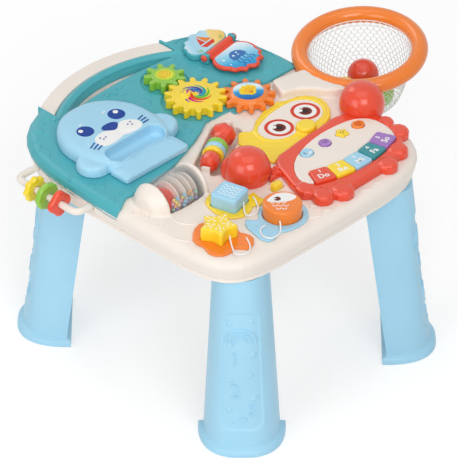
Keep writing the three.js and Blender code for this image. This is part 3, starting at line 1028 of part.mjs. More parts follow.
// Bead rail: a rod that leaves the skirt, runs along the left side and comes back
function railPath() {
  const { outX, innerX, lowY, highY, bend, z } = RAIL;
  const point = (x, y) => new THREE.Vector3(x, y, z);
  const path = new THREE.CurvePath();
  path.add(new THREE.LineCurve3(point(innerX, highY), point(outX + bend, highY)));
  path.add(new THREE.QuadraticBezierCurve3(point(outX + bend, highY), point(outX, highY), point(outX, highY - bend)));
  path.add(new THREE.LineCurve3(point(outX, highY - bend), point(outX, lowY + bend)));
  path.add(new THREE.QuadraticBezierCurve3(point(outX, lowY + bend), point(outX, lowY), point(outX + bend, lowY)));
  path.add(new THREE.LineCurve3(point(outX + bend, lowY), point(innerX, lowY)));
  return path;
}

const beadRod = () => closedTube(railPath(), RAIL.steps, RAIL.radius, 4);

function railHoles() {
  return [RAIL.lowY, RAIL.highY].map((y) => solid(new THREE.CylinderGeometry(RAIL.radius + SEAT_GAP,
    RAIL.radius + SEAT_GAP, 4 * RAIL.bend, 16).rotateZ(Math.PI / 2).translate(RAIL.innerX, y, RAIL.z)));
}

function bead(index) {
  const [count, depth] = BEAD.waveShares[index];
  const rim = Array.from({ length: BEAD.steps }, (_, i) => {
    const turn = 2 * Math.PI * i / BEAD.steps;
    return at(BEAD.radius * (1 - depth + depth * Math.cos(count * turn)), THREE.MathUtils.radToDeg(turn));
  });
  const disc = raised(new THREE.Shape(rim), BEAD.thick, { bevel: BEAD.edge, bevelSteps: 1, lowerToo: true })
    .translate(0, 0, -BEAD.thick / 2);
  const hole = new THREE.CylinderGeometry(BEAD.hole, BEAD.hole, 2 * BEAD.thick, 10).rotateX(Math.PI / 2);
  return cut(solid(disc), solid(hole)).rotate(90, 0, 0)
    .translate(RAIL.outX, (RAIL.lowY + RAIL.highY) / 2 + (index - 1) * BEAD.pitch, RAIL.z);
}

// Hoop with its tongue, the net bag under it and three balls
const hoopRing = () => join(solid(hoopTorus(0)), solid(hoopTongue(0)));

function hoopNet() {
  const top = -NET.drop;
  const floor = top - NET.depth;
  const outside = NET_SHARES.map(([r, z]) => [r * NET.topRadius, top + z * NET.depth]);
  const inside = outside.map(([r, z]) => [Math.max(0, r - NET.wall), Math.max(floor + NET.wall, z)]);
  return hoopPlace(turned([...outside.toReversed(), ...inside], 18));
}

function ball(bearing) {
  const place = at(BALL.spread, bearing);
  const floor = NET.wall + BALL.floorGap - NET.drop - NET.depth;
  const centre = new THREE.Vector3(place.x, place.y, floor + BALL.radius).applyAxisAngle(
    new THREE.Vector3(0, 1, 0), -hoopTurn).add(new THREE.Vector3(HOOP.x, HOOP.y, HOOP.z));
  return { geometry: new THREE.IcosahedronGeometry(BALL.radius, 2), centre };
}

// The whole toy, then moved so that the origin lies on the floor under the middle of its bounding box
const gears = { green: GREEN_GEAR, yellow: YELLOW_GEAR, orange: ORANGE_GEAR };
const gearMaterials = { green: GREEN, yellow: YELLOW, orange: ORANGE };
const gearPieces = Object.entries(gears).map(([name, spec]) => {
  const place = gearPlace(spec);
  return piece(`gear_${name}`, gear(spec), gearMaterials[name], [place.x, place.y, GEAR_FLOOR + RUN_GAP]);
});
const keyMaterials = [RED, YELLOW, SKY, DEEP_TEAL, PURPLE];
const keyPieces = KEY_NAMES.map((name, i) => piece(`key_${name}`, key(i), keyMaterials[i]));
const buttonMaterials = { whale: SKY, octopus: PURPLE, star: YELLOW, shell: ORANGE };
const buttonPieces = Object.entries(buttonMaterials).map(([name, material], i) =>
  piece(`button_${name}`, button(i), material));
const legPieces = corners.map(([name, x, y]) => piece(`leg_${name}`, leg(x, y), SKY));
const ringMaterials = { green: GREEN, blue: SKY, yellow: YELLOW };
const ringPieces = Object.entries(ringMaterials).map(([name, material], i) =>
  piece(`ring_${name}`, squidRing(i), material));
const toyColours = { square: [SKY, YELLOW], round: [ORANGE, SKY], star: [YELLOW, ORANGE] };
const sorterPieces = Object.entries(toyColours).flatMap(([kind, [pegMaterial, plateMaterial]]) => [
  piece(`peg_${kind}`, peg(kind), pegMaterial), piece(`plate_${kind}`, plate(kind), plateMaterial),
  piece(`cord_${kind}`, cordTube(kind), WHITE)]);
const beadMaterials = { red: RED, green: GREEN, yellow: YELLOW };
const beadPieces = Object.entries(beadMaterials).map(([name, material], i) =>
  piece(`bead_${name}`, bead(i), material));
const ballPieces = ['red', 'yellow', 'green'].map((name, i) => {
  const { geometry, centre } = ball(BALL.bearings[i]);
  return piece(`ball_${name}`, geometry, { red: RED, yellow: YELLOW, green: GREEN }[name],
    [centre.x, centre.y, centre.z]);
});
const clawPieces = [['left', CLAW.leftBearing], ['right', CLAW.rightBearing]].map(([name, bearing], i) =>
  piece(`claw_${name}`, claw(claws[i], bearing), RED));

const toy = new THREE.Group();
toy.name = 'activity_table';
toy.add(
  piece('top_shell', topShell(), CREAM),
  piece('bottom_cover', bottomCover(), CREAM),
  piece('battery_door', batteryDoor().translate(DOOR.x, DOOR.y, 0), CREAM),
  piece('sound_board', soundBoard().translate(BOARD.x, BOARD.y, 0), GREEN),
  piece('teal_cover', tealCover(), TEAL),
  piece('handle_grip', handleGrip(), CREAM),
  piece('seal_console', sealConsole(), SKY),
  ...legPieces,
  ...gearPieces,
  piece('book_base', bookBase(), TEAL),
  piece('book_page', bookPage(), RED),
  piece('book_spine', bookSpine(), RED),
  piece('drum_shell', drumShell(), CLEAR),
  piece('drum_core', drumCore(), RED),
  piece('drum_beads', drumBeads(), YELLOW),
  piece('squid_axle', squidAxle(), CREAM),
  piece('squid_head', squidHead(), RED),
  piece('squid_tail', squidTail(), RED),
  ...ringPieces,
  piece('owl_body', owlBody(), YELLOW),
  piece('owl_face', owlFace(), CREAM),
  piece('crab_body', crabBody(), RED),
  piece('crab_panel', crabPanel(), CREAM),
  ...keyPieces,
  ...buttonPieces,
  ...clawPieces,
  piece('power_switch', powerSwitch(), YELLOW),
  ...sorterPieces,
  piece('bead_rod', beadRod(), CREAM),
  ...beadPieces,
  piece('hoop_ring', hoopRing(), ORANGE),
  piece('hoop_net', hoopNet(), WHITE),
  ...ballPieces,
);

const box = new THREE.Box3().setFromObject(toy);
const centre = box.getCenter(new THREE.Vector3());
toy.position.set(-centre.x, -centre.y, -box.min.z);

export default toy;
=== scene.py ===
from functools import cache
import math
import random

import bmesh
import bpy
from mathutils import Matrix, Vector
from mathutils.bvhtree import BVHTree
from mathutils.geometry import interpolate_bezier


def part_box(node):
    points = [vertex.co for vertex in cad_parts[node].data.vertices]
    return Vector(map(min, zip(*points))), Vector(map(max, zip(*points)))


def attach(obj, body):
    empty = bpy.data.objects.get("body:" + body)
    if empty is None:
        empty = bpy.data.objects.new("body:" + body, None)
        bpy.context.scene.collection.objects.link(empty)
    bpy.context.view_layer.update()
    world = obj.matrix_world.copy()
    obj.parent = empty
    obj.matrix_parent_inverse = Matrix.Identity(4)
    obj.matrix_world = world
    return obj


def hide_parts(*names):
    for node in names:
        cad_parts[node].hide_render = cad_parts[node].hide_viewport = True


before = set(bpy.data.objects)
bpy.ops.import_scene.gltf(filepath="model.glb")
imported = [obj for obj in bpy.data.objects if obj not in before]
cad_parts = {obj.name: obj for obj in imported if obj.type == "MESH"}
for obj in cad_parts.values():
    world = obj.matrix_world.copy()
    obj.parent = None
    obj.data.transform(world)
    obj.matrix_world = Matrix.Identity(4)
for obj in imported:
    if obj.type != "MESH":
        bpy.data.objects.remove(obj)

bl_info = {
    "name": "Baby activity table",
    "version": (1, 0, 0),
    "blender": (4, 5, 0),
    "location": "View3D > Sidebar > Toy",
    "description": "Dresses the packed activity table in moulded plastic, prints, net and cords",
    "category": "Object",
}

# Sizes are in millimetres of the table's own frame: its origin is on the floor between the four feet
MM = 0.001
LEGS = ("front_left", "front_right", "back_left", "back_right")
SIDES = (-1, 1)
WHOLE = 2 * math.pi


def middle_of(node):
    low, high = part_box(node)
    return (low + high) / 2


ORIGIN = sum((middle_of("leg_" + leg) for leg in LEGS), Vector()) / len(LEGS)
ORIGIN.z = 0


def place(x, y, z=0.0):
    """A point of the table's frame in the row frame, in metres"""
    return ORIGIN + Vector((x, y, z)) * MM


def linear(code):
    """A written colour such as #4aa7ab as linear red, green and blue, by the usual screen curve"""
    shares = [int(code[i:i + 2], 16) / 255 for i in (1, 3, 5)]
    return tuple(s / 12.92 if s <= 0.04045 else ((s + 0.055) / 1.055) ** 2.4 for s in shares)


def colour(name, description, code):
    return bpy.props.FloatVectorProperty(name=name, description=description, subtype="COLOR", size=3,
                                         min=0, max=1, default=linear(code))


def length(name, description, millimetres):
    return bpy.props.FloatProperty(name=name, description=description, subtype="DISTANCE", unit="LENGTH",
                                   min=0, default=millimetres * MM)


def share(name, description, value):
    return bpy.props.FloatProperty(name=name, description=description, subtype="FACTOR", min=0, max=1,
                                   default=value)


class TOY_colours(bpy.types.PropertyGroup):
    """Colours of the mouldings and the prints"""
    cream: colour("Cream", "Table shell, handle and panels", "#f1e7dd")
    teal: colour("Teal", "Sea-coloured cover", "#49acb7")
    sky: colour("Light blue", "Legs, seal and ring", "#a4d6ee")
    yellow: colour("Yellow", "Owl, gear, plate and star peg", "#fbd92b")
    orange: colour("Orange", "Hoop, gear and round peg", "#f58222")
    red: colour("Red", "Crab, claws, spindle and book", "#ea4a2c")
    green: colour("Green", "Gear, ring and bead", "#8fc741")
    purple: colour("Purple", "Last key and octopus button", "#a172c0")
    deep_teal: colour("Dark teal", "Fourth key", "#1f8f98")
    navy: colour("Navy", "Seal's eyes, nose and whiskers", "#0e3f96")
    brown: colour("Brown", "Owl's irises and pupils", "#6e2414")
    white: colour("White", "Prints, net and cords", "#f6f6f4")


class TOY_finish(bpy.types.PropertyGroup):
    """How the plastic looks from close up"""
    satin: share("Satin roughness", "Roughness of the shell, the cover and the legs", 0.42)
    gloss: share("Gloss roughness", "Roughness of the small bright mouldings", 0.2)
    coat: share("Coat", "Weight of the clear gloss over the bright mouldings", 0.2)
    grain: share("Grain", "Strength of the mould's fine grain", 0.12)
    drift: share("Colour drift", "How far the colour wanders over a moulding", 0.05)


class TOY_sizes(bpy.types.PropertyGroup):
    """Small sizes that the CAD leaves to this scene"""
    shell_voxel: length("Shell voxel", "Mesh size of the large mouldings", 1.7)
    small_voxel: length("Small voxel", "Mesh size of the small mouldings", 0.8)
    relief: length("Relief", "Height of the moulded relief", 1.5)
    print_lift: length("Print lift", "Height of a print over its moulding", 0.18)
    strand: length("Net strand", "Thickness of the net's strands", 0.85)
    cord: length("Cord", "Thickness of the pegs' cords", 2.2)


def link(name, data):
    """A new object in the scene"""
    thing = bpy.data.objects.new(name, data)
    bpy.context.scene.collection.objects.link(thing)
    return thing


def sizes():
    return bpy.context.scene.toy_sizes


def relief():
    return sizes().relief / MM


def paint(name):
    return tuple(getattr(bpy.context.scene.toy_colours, name))


def darker(tint, share_left):
    return tuple(c * share_left for c in tint)


# Shader maths
class Term:
    """A socket that Python expressions can be written with"""

    def __init__(self, recipe, socket):
        self.recipe = recipe
        self.socket = socket

    def maths(self, operation, first, second):
        return self.recipe.add("ShaderNodeMath", {"operation": operation}, {0: first, 1: second})

    def __add__(self, other):
        return self.maths("ADD", self, other)

    def __radd__(self, other):
        return self.maths("ADD", other, self)

    def __sub__(self, other):
        return self.maths("SUBTRACT", self, other)

    def __rsub__(self, other):
        return self.maths("SUBTRACT", other, self)

    def __mul__(self, other):
        return self.maths("MULTIPLY", self, other)

    def __rmul__(self, other):
        return self.maths("MULTIPLY", other, self)

    def shade(self):
        """Make this shader the one that shows"""
        self.recipe.tree.links.new(self.socket, self.recipe.end.inputs["Surface"])


class Recipe:
    """One material and the nodes that make it"""

    def __init__(self, name):
        self.material = bpy.data.materials.new(name)
        self.start(self.material, "ShaderNodeOutputMaterial")

    def start(self, holder, kind):
        holder.use_nodes = True
        self.tree = holder.node_tree
        self.tree.nodes.clear()
        self.end = self.tree.nodes.new(kind)

    @classmethod
    def of_world(cls, world):
        recipe = cls.__new__(cls)
        recipe.start(world, "ShaderNodeOutputWorld")
        return recipe

    def add(self, kind, settings=None, inputs=None, output=0):
        node = self.tree.nodes.new(kind)
        for name, value in (settings or {}).items():
            if name == "stops":
                set_stops(node.color_ramp, value)
            else:
                setattr(node, name, value)
        for name, value in (inputs or {}).items():
            if isinstance(value, Term):
                self.tree.links.new(value.socket, node.inputs[name])
            else:
                node.inputs[name].default_value = value
        return Term(self, node.outputs[output])

    def vectors(self, operation, first, second, output=0):
        return self.add("ShaderNodeVectorMath", {"operation": operation}, {0: first, 1: second}, output)

    def own_place(self):
        """Where a point lies in its piece, in metres"""
        return self.add("ShaderNodeTexCoord", output="Object")

    def blend(self, factor, first, second):
        """A colour between two others"""
        inputs = {"Factor": factor}
        for socket, tint in ((6, first), (7, second)):
            inputs[socket] = tint if isinstance(tint, Term) else (*tint, 1)
        return self.add("ShaderNodeMix", {"data_type": "RGBA"}, inputs, 2)

    def noise(self, scale, detail, seed):
        """Soft noise about one half, in the piece's own metres"""
        shifted = self.vectors("ADD", self.own_place(), (seed, seed, seed))
        return self.add("ShaderNodeTexNoise", None, {"Vector": shifted, "Scale": scale, "Detail": detail})

    def bump(self, height, strength):
        inputs = {"Height": height, "Strength": strength, "Distance": GRAIN_DEPTH}
        return self.add("ShaderNodeBump", None, inputs)

    def surface(self, **inputs):
        """The main shader; a socket's name is written with _ for each space"""
        named = {name.replace("_", " "): value for name, value in inputs.items()}
        self.add("ShaderNodeBsdfPrincipled", None, named).shade()
        return self.material


def set_stops(ramp, stops):
    while len(ramp.elements) < len(stops):
        ramp.elements.new(0.5)
    for element, (position, code) in zip(ramp.elements, stops):
        element.position = position
        element.color = (*linear(code), 1)


# Materials
PLASTIC_IOR = 1.46
INK_SPECULAR = 0.25
INK_ROUGHNESS = 0.4
TONED_ROUGHNESS = 0.3
INK_DARK_SHARE = 0.93
INK_SEED = 0.3
TONED_SEED = 0.7
GRAIN_DEPTH = 0.00012
GLOSS_GRAIN_SHARE = 0.5
SATIN_COAT_SHARE = 0.25
DARK_DRIFT = 1.6
MOTTLE = 0.1
SCUFF_SHARE = 0.5
NOISE_MIDDLE = 0.5
SEED_STEP = 3.7
# Each noise is its scale and its detail
DRIFT_NOISE = (9, 3)
SCUFF_NOISE = (60, 4)
RIPPLE_NOISE = (60, 2)
GRAIN_NOISE = (1400, 2)
MOTTLE_NOISE = (480, 2)
PLASTICS = {
    # name: colour, whether it is glossy, seed of its noise
    "cream": ("cream", False, 1), "cream_below": ("cream", False, 2), "teal": ("teal", False, 3),
    "sky": ("sky", False, 4), "yellow": ("yellow", True, 5), "green": ("green", True, 5),
    "orange": ("orange", True, 5), "red": ("red", True, 6), "purple": ("purple", True, 8),
    "deep_teal": ("deep_teal", True, 8),
}
CLEAR = {"dark": (0.42, 0.45, 0.48), "light": (0.55, 0.58, 0.6), "rough": 0.05, "ripple": 0.04, "bump": 0.08,
         "edge_blend": 0.3, "edge_alpha": 0.42, "least_alpha": 0.02, "seed": 0.9}
THREAD = {"dark_share": 0.84, "rough": 0.75, "fuzz": 0.15, "bump": 0.4, "sheen": 0.3, "wander": 1.0,
          "seed": 0.1}


@cache
def plastic(name):
    """Moulded plastic: its colour wanders a little, its gloss is scuffed, and the mould left its grain"""
    tint_name, glossy, seed = PLASTICS[name]
    tint, look = paint(tint_name), bpy.context.scene.toy_finish
    recipe = Recipe("plastic_" + name)
    wander = recipe.noise(*DRIFT_NOISE, seed * SEED_STEP)
    scuff = recipe.noise(*SCUFF_NOISE, seed * SEED_STEP)
    grain = recipe.noise(*GRAIN_NOISE, seed)
    light = tuple(min(1, c * (1 + look.drift)) for c in tint)
    rough = look.gloss if glossy else look.satin
    return recipe.surface(
        Base_Color=recipe.blend(wander, darker(tint, 1 - DARK_DRIFT * look.drift), light),
        Roughness=rough + (scuff - NOISE_MIDDLE) * rough * SCUFF_SHARE,
        IOR=PLASTIC_IOR,
        Coat_Weight=look.coat * (1 if glossy else SATIN_COAT_SHARE),
        Coat_Roughness=look.gloss / 2,
        Normal=recipe.bump(grain, look.grain * (GLOSS_GRAIN_SHARE if glossy else 1)))


@cache
def ink(name, code=None):
    """Printed ink with the faint mottle of a pad print, in the paint of its name where it has no code"""
    tint = linear(code) if code else paint(name)
    recipe = Recipe("ink_" + name)
    mottle = recipe.noise(*MOTTLE_NOISE, INK_SEED)
    return recipe.surface(Base_Color=recipe.blend(mottle, darker(tint, INK_DARK_SHARE), tint),
                          Roughness=INK_ROUGHNESS + mottle * MOTTLE, IOR=PLASTIC_IOR,
                          Specular_IOR_Level=INK_SPECULAR)


def toned_ink(name, stops, centre, reach):
    """Printed ink whose colour runs from a centre outwards, or along one way where reach is a vector"""
    recipe = Recipe("ink_" + name)
    apart = recipe.vectors("SUBTRACT", recipe.own_place(), tuple(centre))
    if isinstance(reach, Vector):
        run = recipe.vectors("DOT_PRODUCT", apart, tuple(reach / reach.length_squared), "Value")
    else:
        run = recipe.add("ShaderNodeVectorMath", {"operation": "LENGTH"}, {0: apart}, "Value") * (1 / reach)
    tone = recipe.add("ShaderNodeValToRGB", {"stops": stops}, {"Fac": run})
    mottle = recipe.noise(*MOTTLE_NOISE, TONED_SEED)
    return recipe.surface(Base_Color=tone, Roughness=TONED_ROUGHNESS + mottle * MOTTLE, IOR=PLASTIC_IOR,
                          Specular_IOR_Level=INK_SPECULAR)


def clear_plastic():
    """Thin clear plastic: it shows most where it turns away"""
    recipe = Recipe("clear_plastic")
    ripple = recipe.noise(*RIPPLE_NOISE, CLEAR["seed"])
    turned = recipe.add("ShaderNodeLayerWeight", None, {"Blend": CLEAR["edge_blend"]}, "Facing")
    return recipe.surface(Base_Color=recipe.blend(ripple, CLEAR["dark"], CLEAR["light"]),
                          Roughness=CLEAR["rough"] + ripple * CLEAR["ripple"], IOR=PLASTIC_IOR,
                          Alpha=turned * CLEAR["edge_alpha"] + CLEAR["least_alpha"],
                          Normal=recipe.bump(ripple, CLEAR["bump"]))


def thread(name, tint, twist):
    """Twisted thread of a cord or a net"""
    recipe = Recipe(name)
    waves = recipe.add("ShaderNodeTexWave", {"bands_direction": "DIAGONAL"},
                       {"Vector": recipe.own_place(), "Scale": twist, "Distortion": THREAD["wander"]})
    fuzz = recipe.noise(*GRAIN_NOISE, THREAD["seed"])
    shade = recipe.add("ShaderNodeRGBToBW", None, {"Color": waves}) * fuzz
    return recipe.surface(Base_Color=recipe.blend(shade, tint, darker(tint, THREAD["dark_share"])),
                          Roughness=THREAD["rough"] + fuzz * THREAD["fuzz"], Sheen_Weight=THREAD["sheen"],
                          Normal=recipe.bump(shade, THREAD["bump"]))


# Shapes are pairs of points and faces, in millimetres of the table's frame
STANDING = 0.01
TIP_SHARE = 0.4
PRINT_DEPTH = 0.5
RELIEF_SINK = 0.15
HIGH_ABOVE = 600
BUBBLE_TURNS = (-0.3, 0, 0.25, 0.55, 0.9, 1.25)
RIDGE_END_SHARE = 0.35
RIDGE_FULLNESS = 0.4
PILLOW_SINK = 1.0
PILLOW_SHARES = ((1, 0), (0.93, 0.45), (0.78, 0.8), (0.5, 0.97), (0.2, 1))
SHARP_ANGLE = 38
EDGE_WIDTH = 0.5


def around(count):
    return [WHOLE * i / count for i in range(count)]


def ring(x, y, radius, z=0.0, count=24, wide=1.0):
    return [Vector((x + radius * wide * math.cos(a), y + radius * math.sin(a), z)) for a in around(count)]


def loft(loops, open_ends=False):
    """A skin over loops of equally many points, closed by a face at each end"""
    count = len(loops[0])
    points = [p for loop in loops for p in loop]
    faces = bands(count, len(loops) - 1)
    if not open_ends:
        faces.append(tuple(reversed(range(count))))
        faces.append(tuple(range(len(points) - count, len(points))))
    return points, faces


def bands(count, rows):
    """The faces between loops of equally many points, which follow each other"""
    faces = []
    for row in range(rows):
        for i in range(count):
            a, b = row * count + i, row * count + (i + 1) % count
            faces.append((a, b, b + count, a + count))
    return faces


def lathe(profile, count=48):
    """A profile of (radius, z) turned about z; a radius of nothing closes it"""
    points, rows, faces = [], [], []
    for radius, z in profile:
        start = len(points)
        if radius:
            points += ring(0, 0, radius, z, count)
            rows.append([start + i for i in range(count)])
        else:
            points.append(Vector((0, 0, z)))
            rows.append([start] * count)
    for low, high in zip(rows, rows[1:]):
        for i in range(count):
            j = (i + 1) % count
            corners = dict.fromkeys((low[i], low[j], high[j], high[i]))
            if len(corners) > 2:
                faces.append(tuple(corners))
    return points, faces


def turned_to(shape, direction, origin):
    """A shape made about z, laid along a direction"""
    turn = Vector(direction).to_track_quat("Z", "Y")
    return [turn @ p + Vector(origin) for p in shape[0]], shape[1]


def moved(shape, x, y, z=0.0, bearing=0.0):
    turn = math.radians(bearing)
    c, s = math.cos(turn), math.sin(turn)
    return [Vector((x + p.x * c - p.y * s, y + p.x * s + p.y * c, z + p.z)) for p in shape[0]], shape[1]


def gathered(shapes):
    points, faces = [], []
    for more_points, more_faces in shapes:
        start = len(points)
        points += more_points
        faces += [tuple(i + start for i in face) for face in more_faces]
    return points, faces


def smooth_path(points, steps, closed=False):
    """A spline through points, in equal steps of its parameter"""
    points = [Vector((*p, 0.0)[:3]) for p in points]
    count = len(points)
    spans = count if closed else count - 1
    path = []
    for i in range(spans * steps + (0 if closed else 1)):
        span = min(i // steps, spans - 1)
        part = i / steps - span
        near = [span - 1, span, span + 1, span + 2]
        a, b, c, d = (points[n % count] if closed else points[max(0, min(count - 1, n))] for n in near)
        path.append(0.5 * (2 * b + (c - a) * part + (2 * a - 5 * b + 4 * c - d) * part ** 2
                           + (3 * b - a - 3 * c + d) * part ** 3))
    return path


def tube(path, radius, sides, flat=1.0, closed=False, taper=None):
    """A round rod along a path: flat squeezes it in height, and taper gives its radius as a share"""
    loops = []
    count = len(path)
    side = Vector((0, 0, 1))
    for i, point in enumerate(path):
        ahead = path[(i + 1) % count] if closed or i + 1 < count else point
        behind = path[i - 1] if closed or i else point
        along = (ahead - behind).normalized()
        across = along.cross(side)
        across = (across if across.length > STANDING else along.orthogonal()).normalized()
        rise = across.cross(along).normalized()
        size = radius * (taper(i / (count - 1)) if taper else 1)
        loops.append([point + across * size * math.cos(a) + rise * size * flat * math.sin(a)
                      for a in around(sides)])
    if closed:
        loops.append(loops[0])
    return loft(loops, open_ends=closed)


def inset(points, depth):
    """A closed outline, counter-clockwise, drawn in by one depth"""
    drawn = []
    for i, point in enumerate(points):
        along = (points[(i + 1) % len(points)] - points[i - 1]).normalized()
        drawn.append(point + Vector((-along.y, along.x, 0)) * depth)
    return drawn


def slab(points, low, high, edge, rounds=3):
    """A plate over an outline with a rounded upper edge"""
    loops = [[Vector((p.x, p.y, low)) for p in points]]
    for i in range(rounds + 1):
        turn = math.pi / 2 * i / rounds
        drawn = inset(points, edge * (1 - math.cos(turn)))
        loops.append([Vector((p.x, p.y, high - edge + edge * math.sin(turn))) for p in drawn])
    return loft(loops)


def blob(points, rings=3):
    """A flat fill of a star-shaped outline, in rings so that it can follow a curved moulding"""
    centre = sum(points, Vector()) / len(points)
    count = len(points)
    flat = [centre + (p - centre) * (rings - r) / rings for r in range(rings) for p in points] + [centre]
    last = (rings - 1) * count
    fan = [(last + i, last + (i + 1) % count, rings * count) for i in range(count)]
    return flat, bands(count, rings - 1) + fan


def stroke(path, width, taper=None):
    """A flat line of ink with round ends"""
    count = len(path)
    left, right = [], []
    for i, point in enumerate(path):
        along = (path[min(i + 1, count - 1)] - path[max(i - 1, 0)]).normalized()
        across = Vector((-along.y, along.x, 0)) * width / 2 * (taper(i / (count - 1)) if taper else 1)
        left.append(point + across)
        right.append(point - across)
    tips = []
    for end, near in ((0, 1), (-1, -2)):
        tips.append(path[end] + (path[end] - path[near]).normalized() * width * TIP_SHARE
                    * (taper(abs(end)) if taper else 1))
    flat = left + right + tips
    faces = [(i, count + i, count + i + 1, i + 1) for i in range(count - 1)]
    faces += [(2 * count, count, 0), (2 * count + 1, count - 1, 2 * count - 1)]
    return flat, faces


def line(*points):
    return [Vector((*p, 0.0)[:3]) for p in points]


def circle_print(x, y, radius, wide=1.0, count=28):
    return blob(ring(x, y, radius, count=count, wide=wide))


def band_print(x, y, outer, inner, count=40):
    """A printed ring"""
    return ring(x, y, outer, count=count) + ring(x, y, inner, count=count), bands(count, 1)


def thickened(shape, depth):
    """A flat shape given a back, which lies one step away, and sides"""
    points, faces = shape
    count = len(points)
    ways = {(face[i - 1], face[i]) for face in faces for i in range(len(face))}
    sides = [(b, a, a + count, b + count) for a, b in ways if (b, a) not in ways]
    back = [tuple(i + count for i in reversed(face)) for face in faces]
    return points + [p - depth for p in points], list(faces) + sides + back


class Moulding:
    """The surface of CAD nodes that ride on one body, to lay prints and relief on"""

    def __init__(self, *nodes, body="table"):
        self.body = body
        parts = []
        for node in nodes:
            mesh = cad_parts[node].data
            parts.append(([v.co.copy() for v in mesh.vertices], [tuple(p.vertices) for p in mesh.polygons]))
        self.tree = BVHTree.FromPolygons(*gathered(parts))

    def height(self, x, y):
        hit = self.tree.ray_cast(place(x, y, HIGH_ABOVE), Vector((0, 0, -1)))[0]
        if hit is None:
            raise ValueError(f"nothing to print on at {x:.1f}, {y:.1f}")
        return hit.z / MM

    def print(self, name, shapes, material, lift=None):
        """Flat shapes laid on the moulding, each a thin closed skin that stands a print's lift over it"""
        lift = sizes().print_lift / MM if lift is None else lift
        laid = []
        for points, faces in shapes:
            draped = [Vector((p.x, p.y, self.height(p.x, p.y) + lift)) for p in points]
            laid.append(thickened((draped, faces), Vector((0, 0, PRINT_DEPTH))))
        piece(name, gathered(laid), material, body=self.body)

    def emboss(self, name, shapes, tint):
        """Relief set down on the moulding: each shape keeps its form and follows the surface under it"""
        laid = [([Vector((p.x, p.y, p.z + self.height(p.x, p.y) - RELIEF_SINK)) for p in points], faces)
                for points, faces in shapes]
        piece(name, gathered(laid), plastic(tint), body=self.body)


def words(text, size, bold=0.0):
    """Some letters, centred, as flat faces"""
    curve = bpy.data.curves.new("letters", "FONT")
    curve.body, curve.size, curve.offset = text, size * MM, bold * MM
    curve.align_x, curve.align_y, curve.resolution_u = "CENTER", "CENTER", 3
    holder = link("letters", curve)
    bpy.context.view_layer.update()
    mesh = bpy.data.meshes.new_from_object(holder.evaluated_get(bpy.context.evaluated_depsgraph_get()))
    points = [v.co / MM for v in mesh.vertices]
    faces = [tuple(p.vertices) for p in mesh.polygons]
    bpy.data.objects.remove(holder)
    bpy.data.meshes.remove(mesh)
    bpy.data.curves.remove(curve)
    return points, faces


# Pieces
def cover_with(thing, material):
    thing.data.materials.clear()
    thing.data.materials.append(material)


def piece(name, shape, material, body="table", replaces=(), sharp=SHARP_ANGLE):
    points, faces = shape
    mesh = bpy.data.meshes.new(name)
    mesh.from_pydata([place(*p) for p in points], [], faces)
    mesh.materials.append(material)
    worked = bmesh.new()
    worked.from_mesh(mesh)
    bmesh.ops.recalc_face_normals(worked, faces=worked.faces)
    worked.to_mesh(mesh)
    worked.free()
    mesh.shade_smooth()
    mesh.set_sharp_from_angle(angle=math.radians(sharp))
    thing = link(name, mesh)
    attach(thing, body)
    if replaces:
        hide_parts(*replaces)
    return thing


LARGE_NODES = ("top_shell", "teal_cover")
SOFTNESS = {
    # node, or the first word of its name: its voxel as a share of the usual one, and passes of smoothing
    "top_shell": (1, 3), "teal_cover": (0.65, 2), "handle_grip": (1.2, 3), "gear": (0.9, 3),
    "seal_console": (1.4, 14), "book_base": (1, 5), "book_page": (1, 5), "book_spine": (0.8, 3),
    "squid": (1, 2), "ring": (0.7, 3), "owl_body": (1.1, 5), "owl_face": (0.7, 3), "crab_body": (0.9, 2),
    "crab_panel": (1, 2), "key": (0.7, 4), "button": (0.6, 3), "power_switch": (0.6, 4), "peg": (1.1, 6),
    "plate": (0.9, 4), "bead": (1, 4),
}


def soften(node, tint):
    """A CAD node with its edges rounded as a mould leaves them"""
    voxel_share, passes = SOFTNESS[node if node in SOFTNESS else node.split("_")[0]]
    voxel = sizes().shell_voxel if node in LARGE_NODES else sizes().small_voxel
    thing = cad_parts[node]
    remesh = thing.modifiers.new("mould", "REMESH")
    remesh.mode = "VOXEL"
    remesh.voxel_size = voxel * voxel_share
    remesh.use_smooth_shade = True
    smooth = thing.modifiers.new("round", "SMOOTH")
    smooth.iterations = passes
    cover_with(thing, plastic(tint))


def chamfer(node, material):
    """A plain CAD node with its edges taken off"""
    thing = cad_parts[node]
    edge = thing.modifiers.new("edge", "BEVEL")
    edge.width = EDGE_WIDTH * MM
    edge.segments = 2
    edge.limit_method = "ANGLE"
    edge.use_clamp_overlap = True
    cover_with(thing, material)


def bubble(x, y, radius, height):
    """A low dome, half sunk so that its rim melts into the moulding"""
    profile = [(radius * math.cos(t), height * math.sin(t)) for t in BUBBLE_TURNS]
    return moved(lathe(profile + [(0, height)], 24), x, y)


def bubble_ring(x, y, radius, width, height):
    loops = []
    for a in around(28):
        reach = [radius + width / 2 * math.cos(t) for t in around(8)]
        loops.append([Vector((r * math.cos(a), r * math.sin(a), height * math.sin(t)))
                      for r, t in zip(reach, around(8))])
    return moved(loft(loops + [loops[0]], open_ends=True), x, y)


def ridge_taper(part):
    """A ridge is widest at its middle and narrows to its ends"""
    return RIDGE_END_SHARE + (1 - RIDGE_END_SHARE) * math.sin(math.pi * part) ** RIDGE_FULLNESS


def ridge(points, width, height):
    return tube(smooth_path(points, 6), width / 2, 8, flat=2 * height / width, taper=ridge_taper)


def star_outline(x, y, outer, inner):
    corners = []
    for i, turn in enumerate(around(10)):
        radius = inner if i % 2 else outer
        corners.append((x + radius * math.cos(turn + WHOLE / 4), y + radius * math.sin(turn + WHOLE / 4)))
    return smooth_path(corners, 3, closed=True)


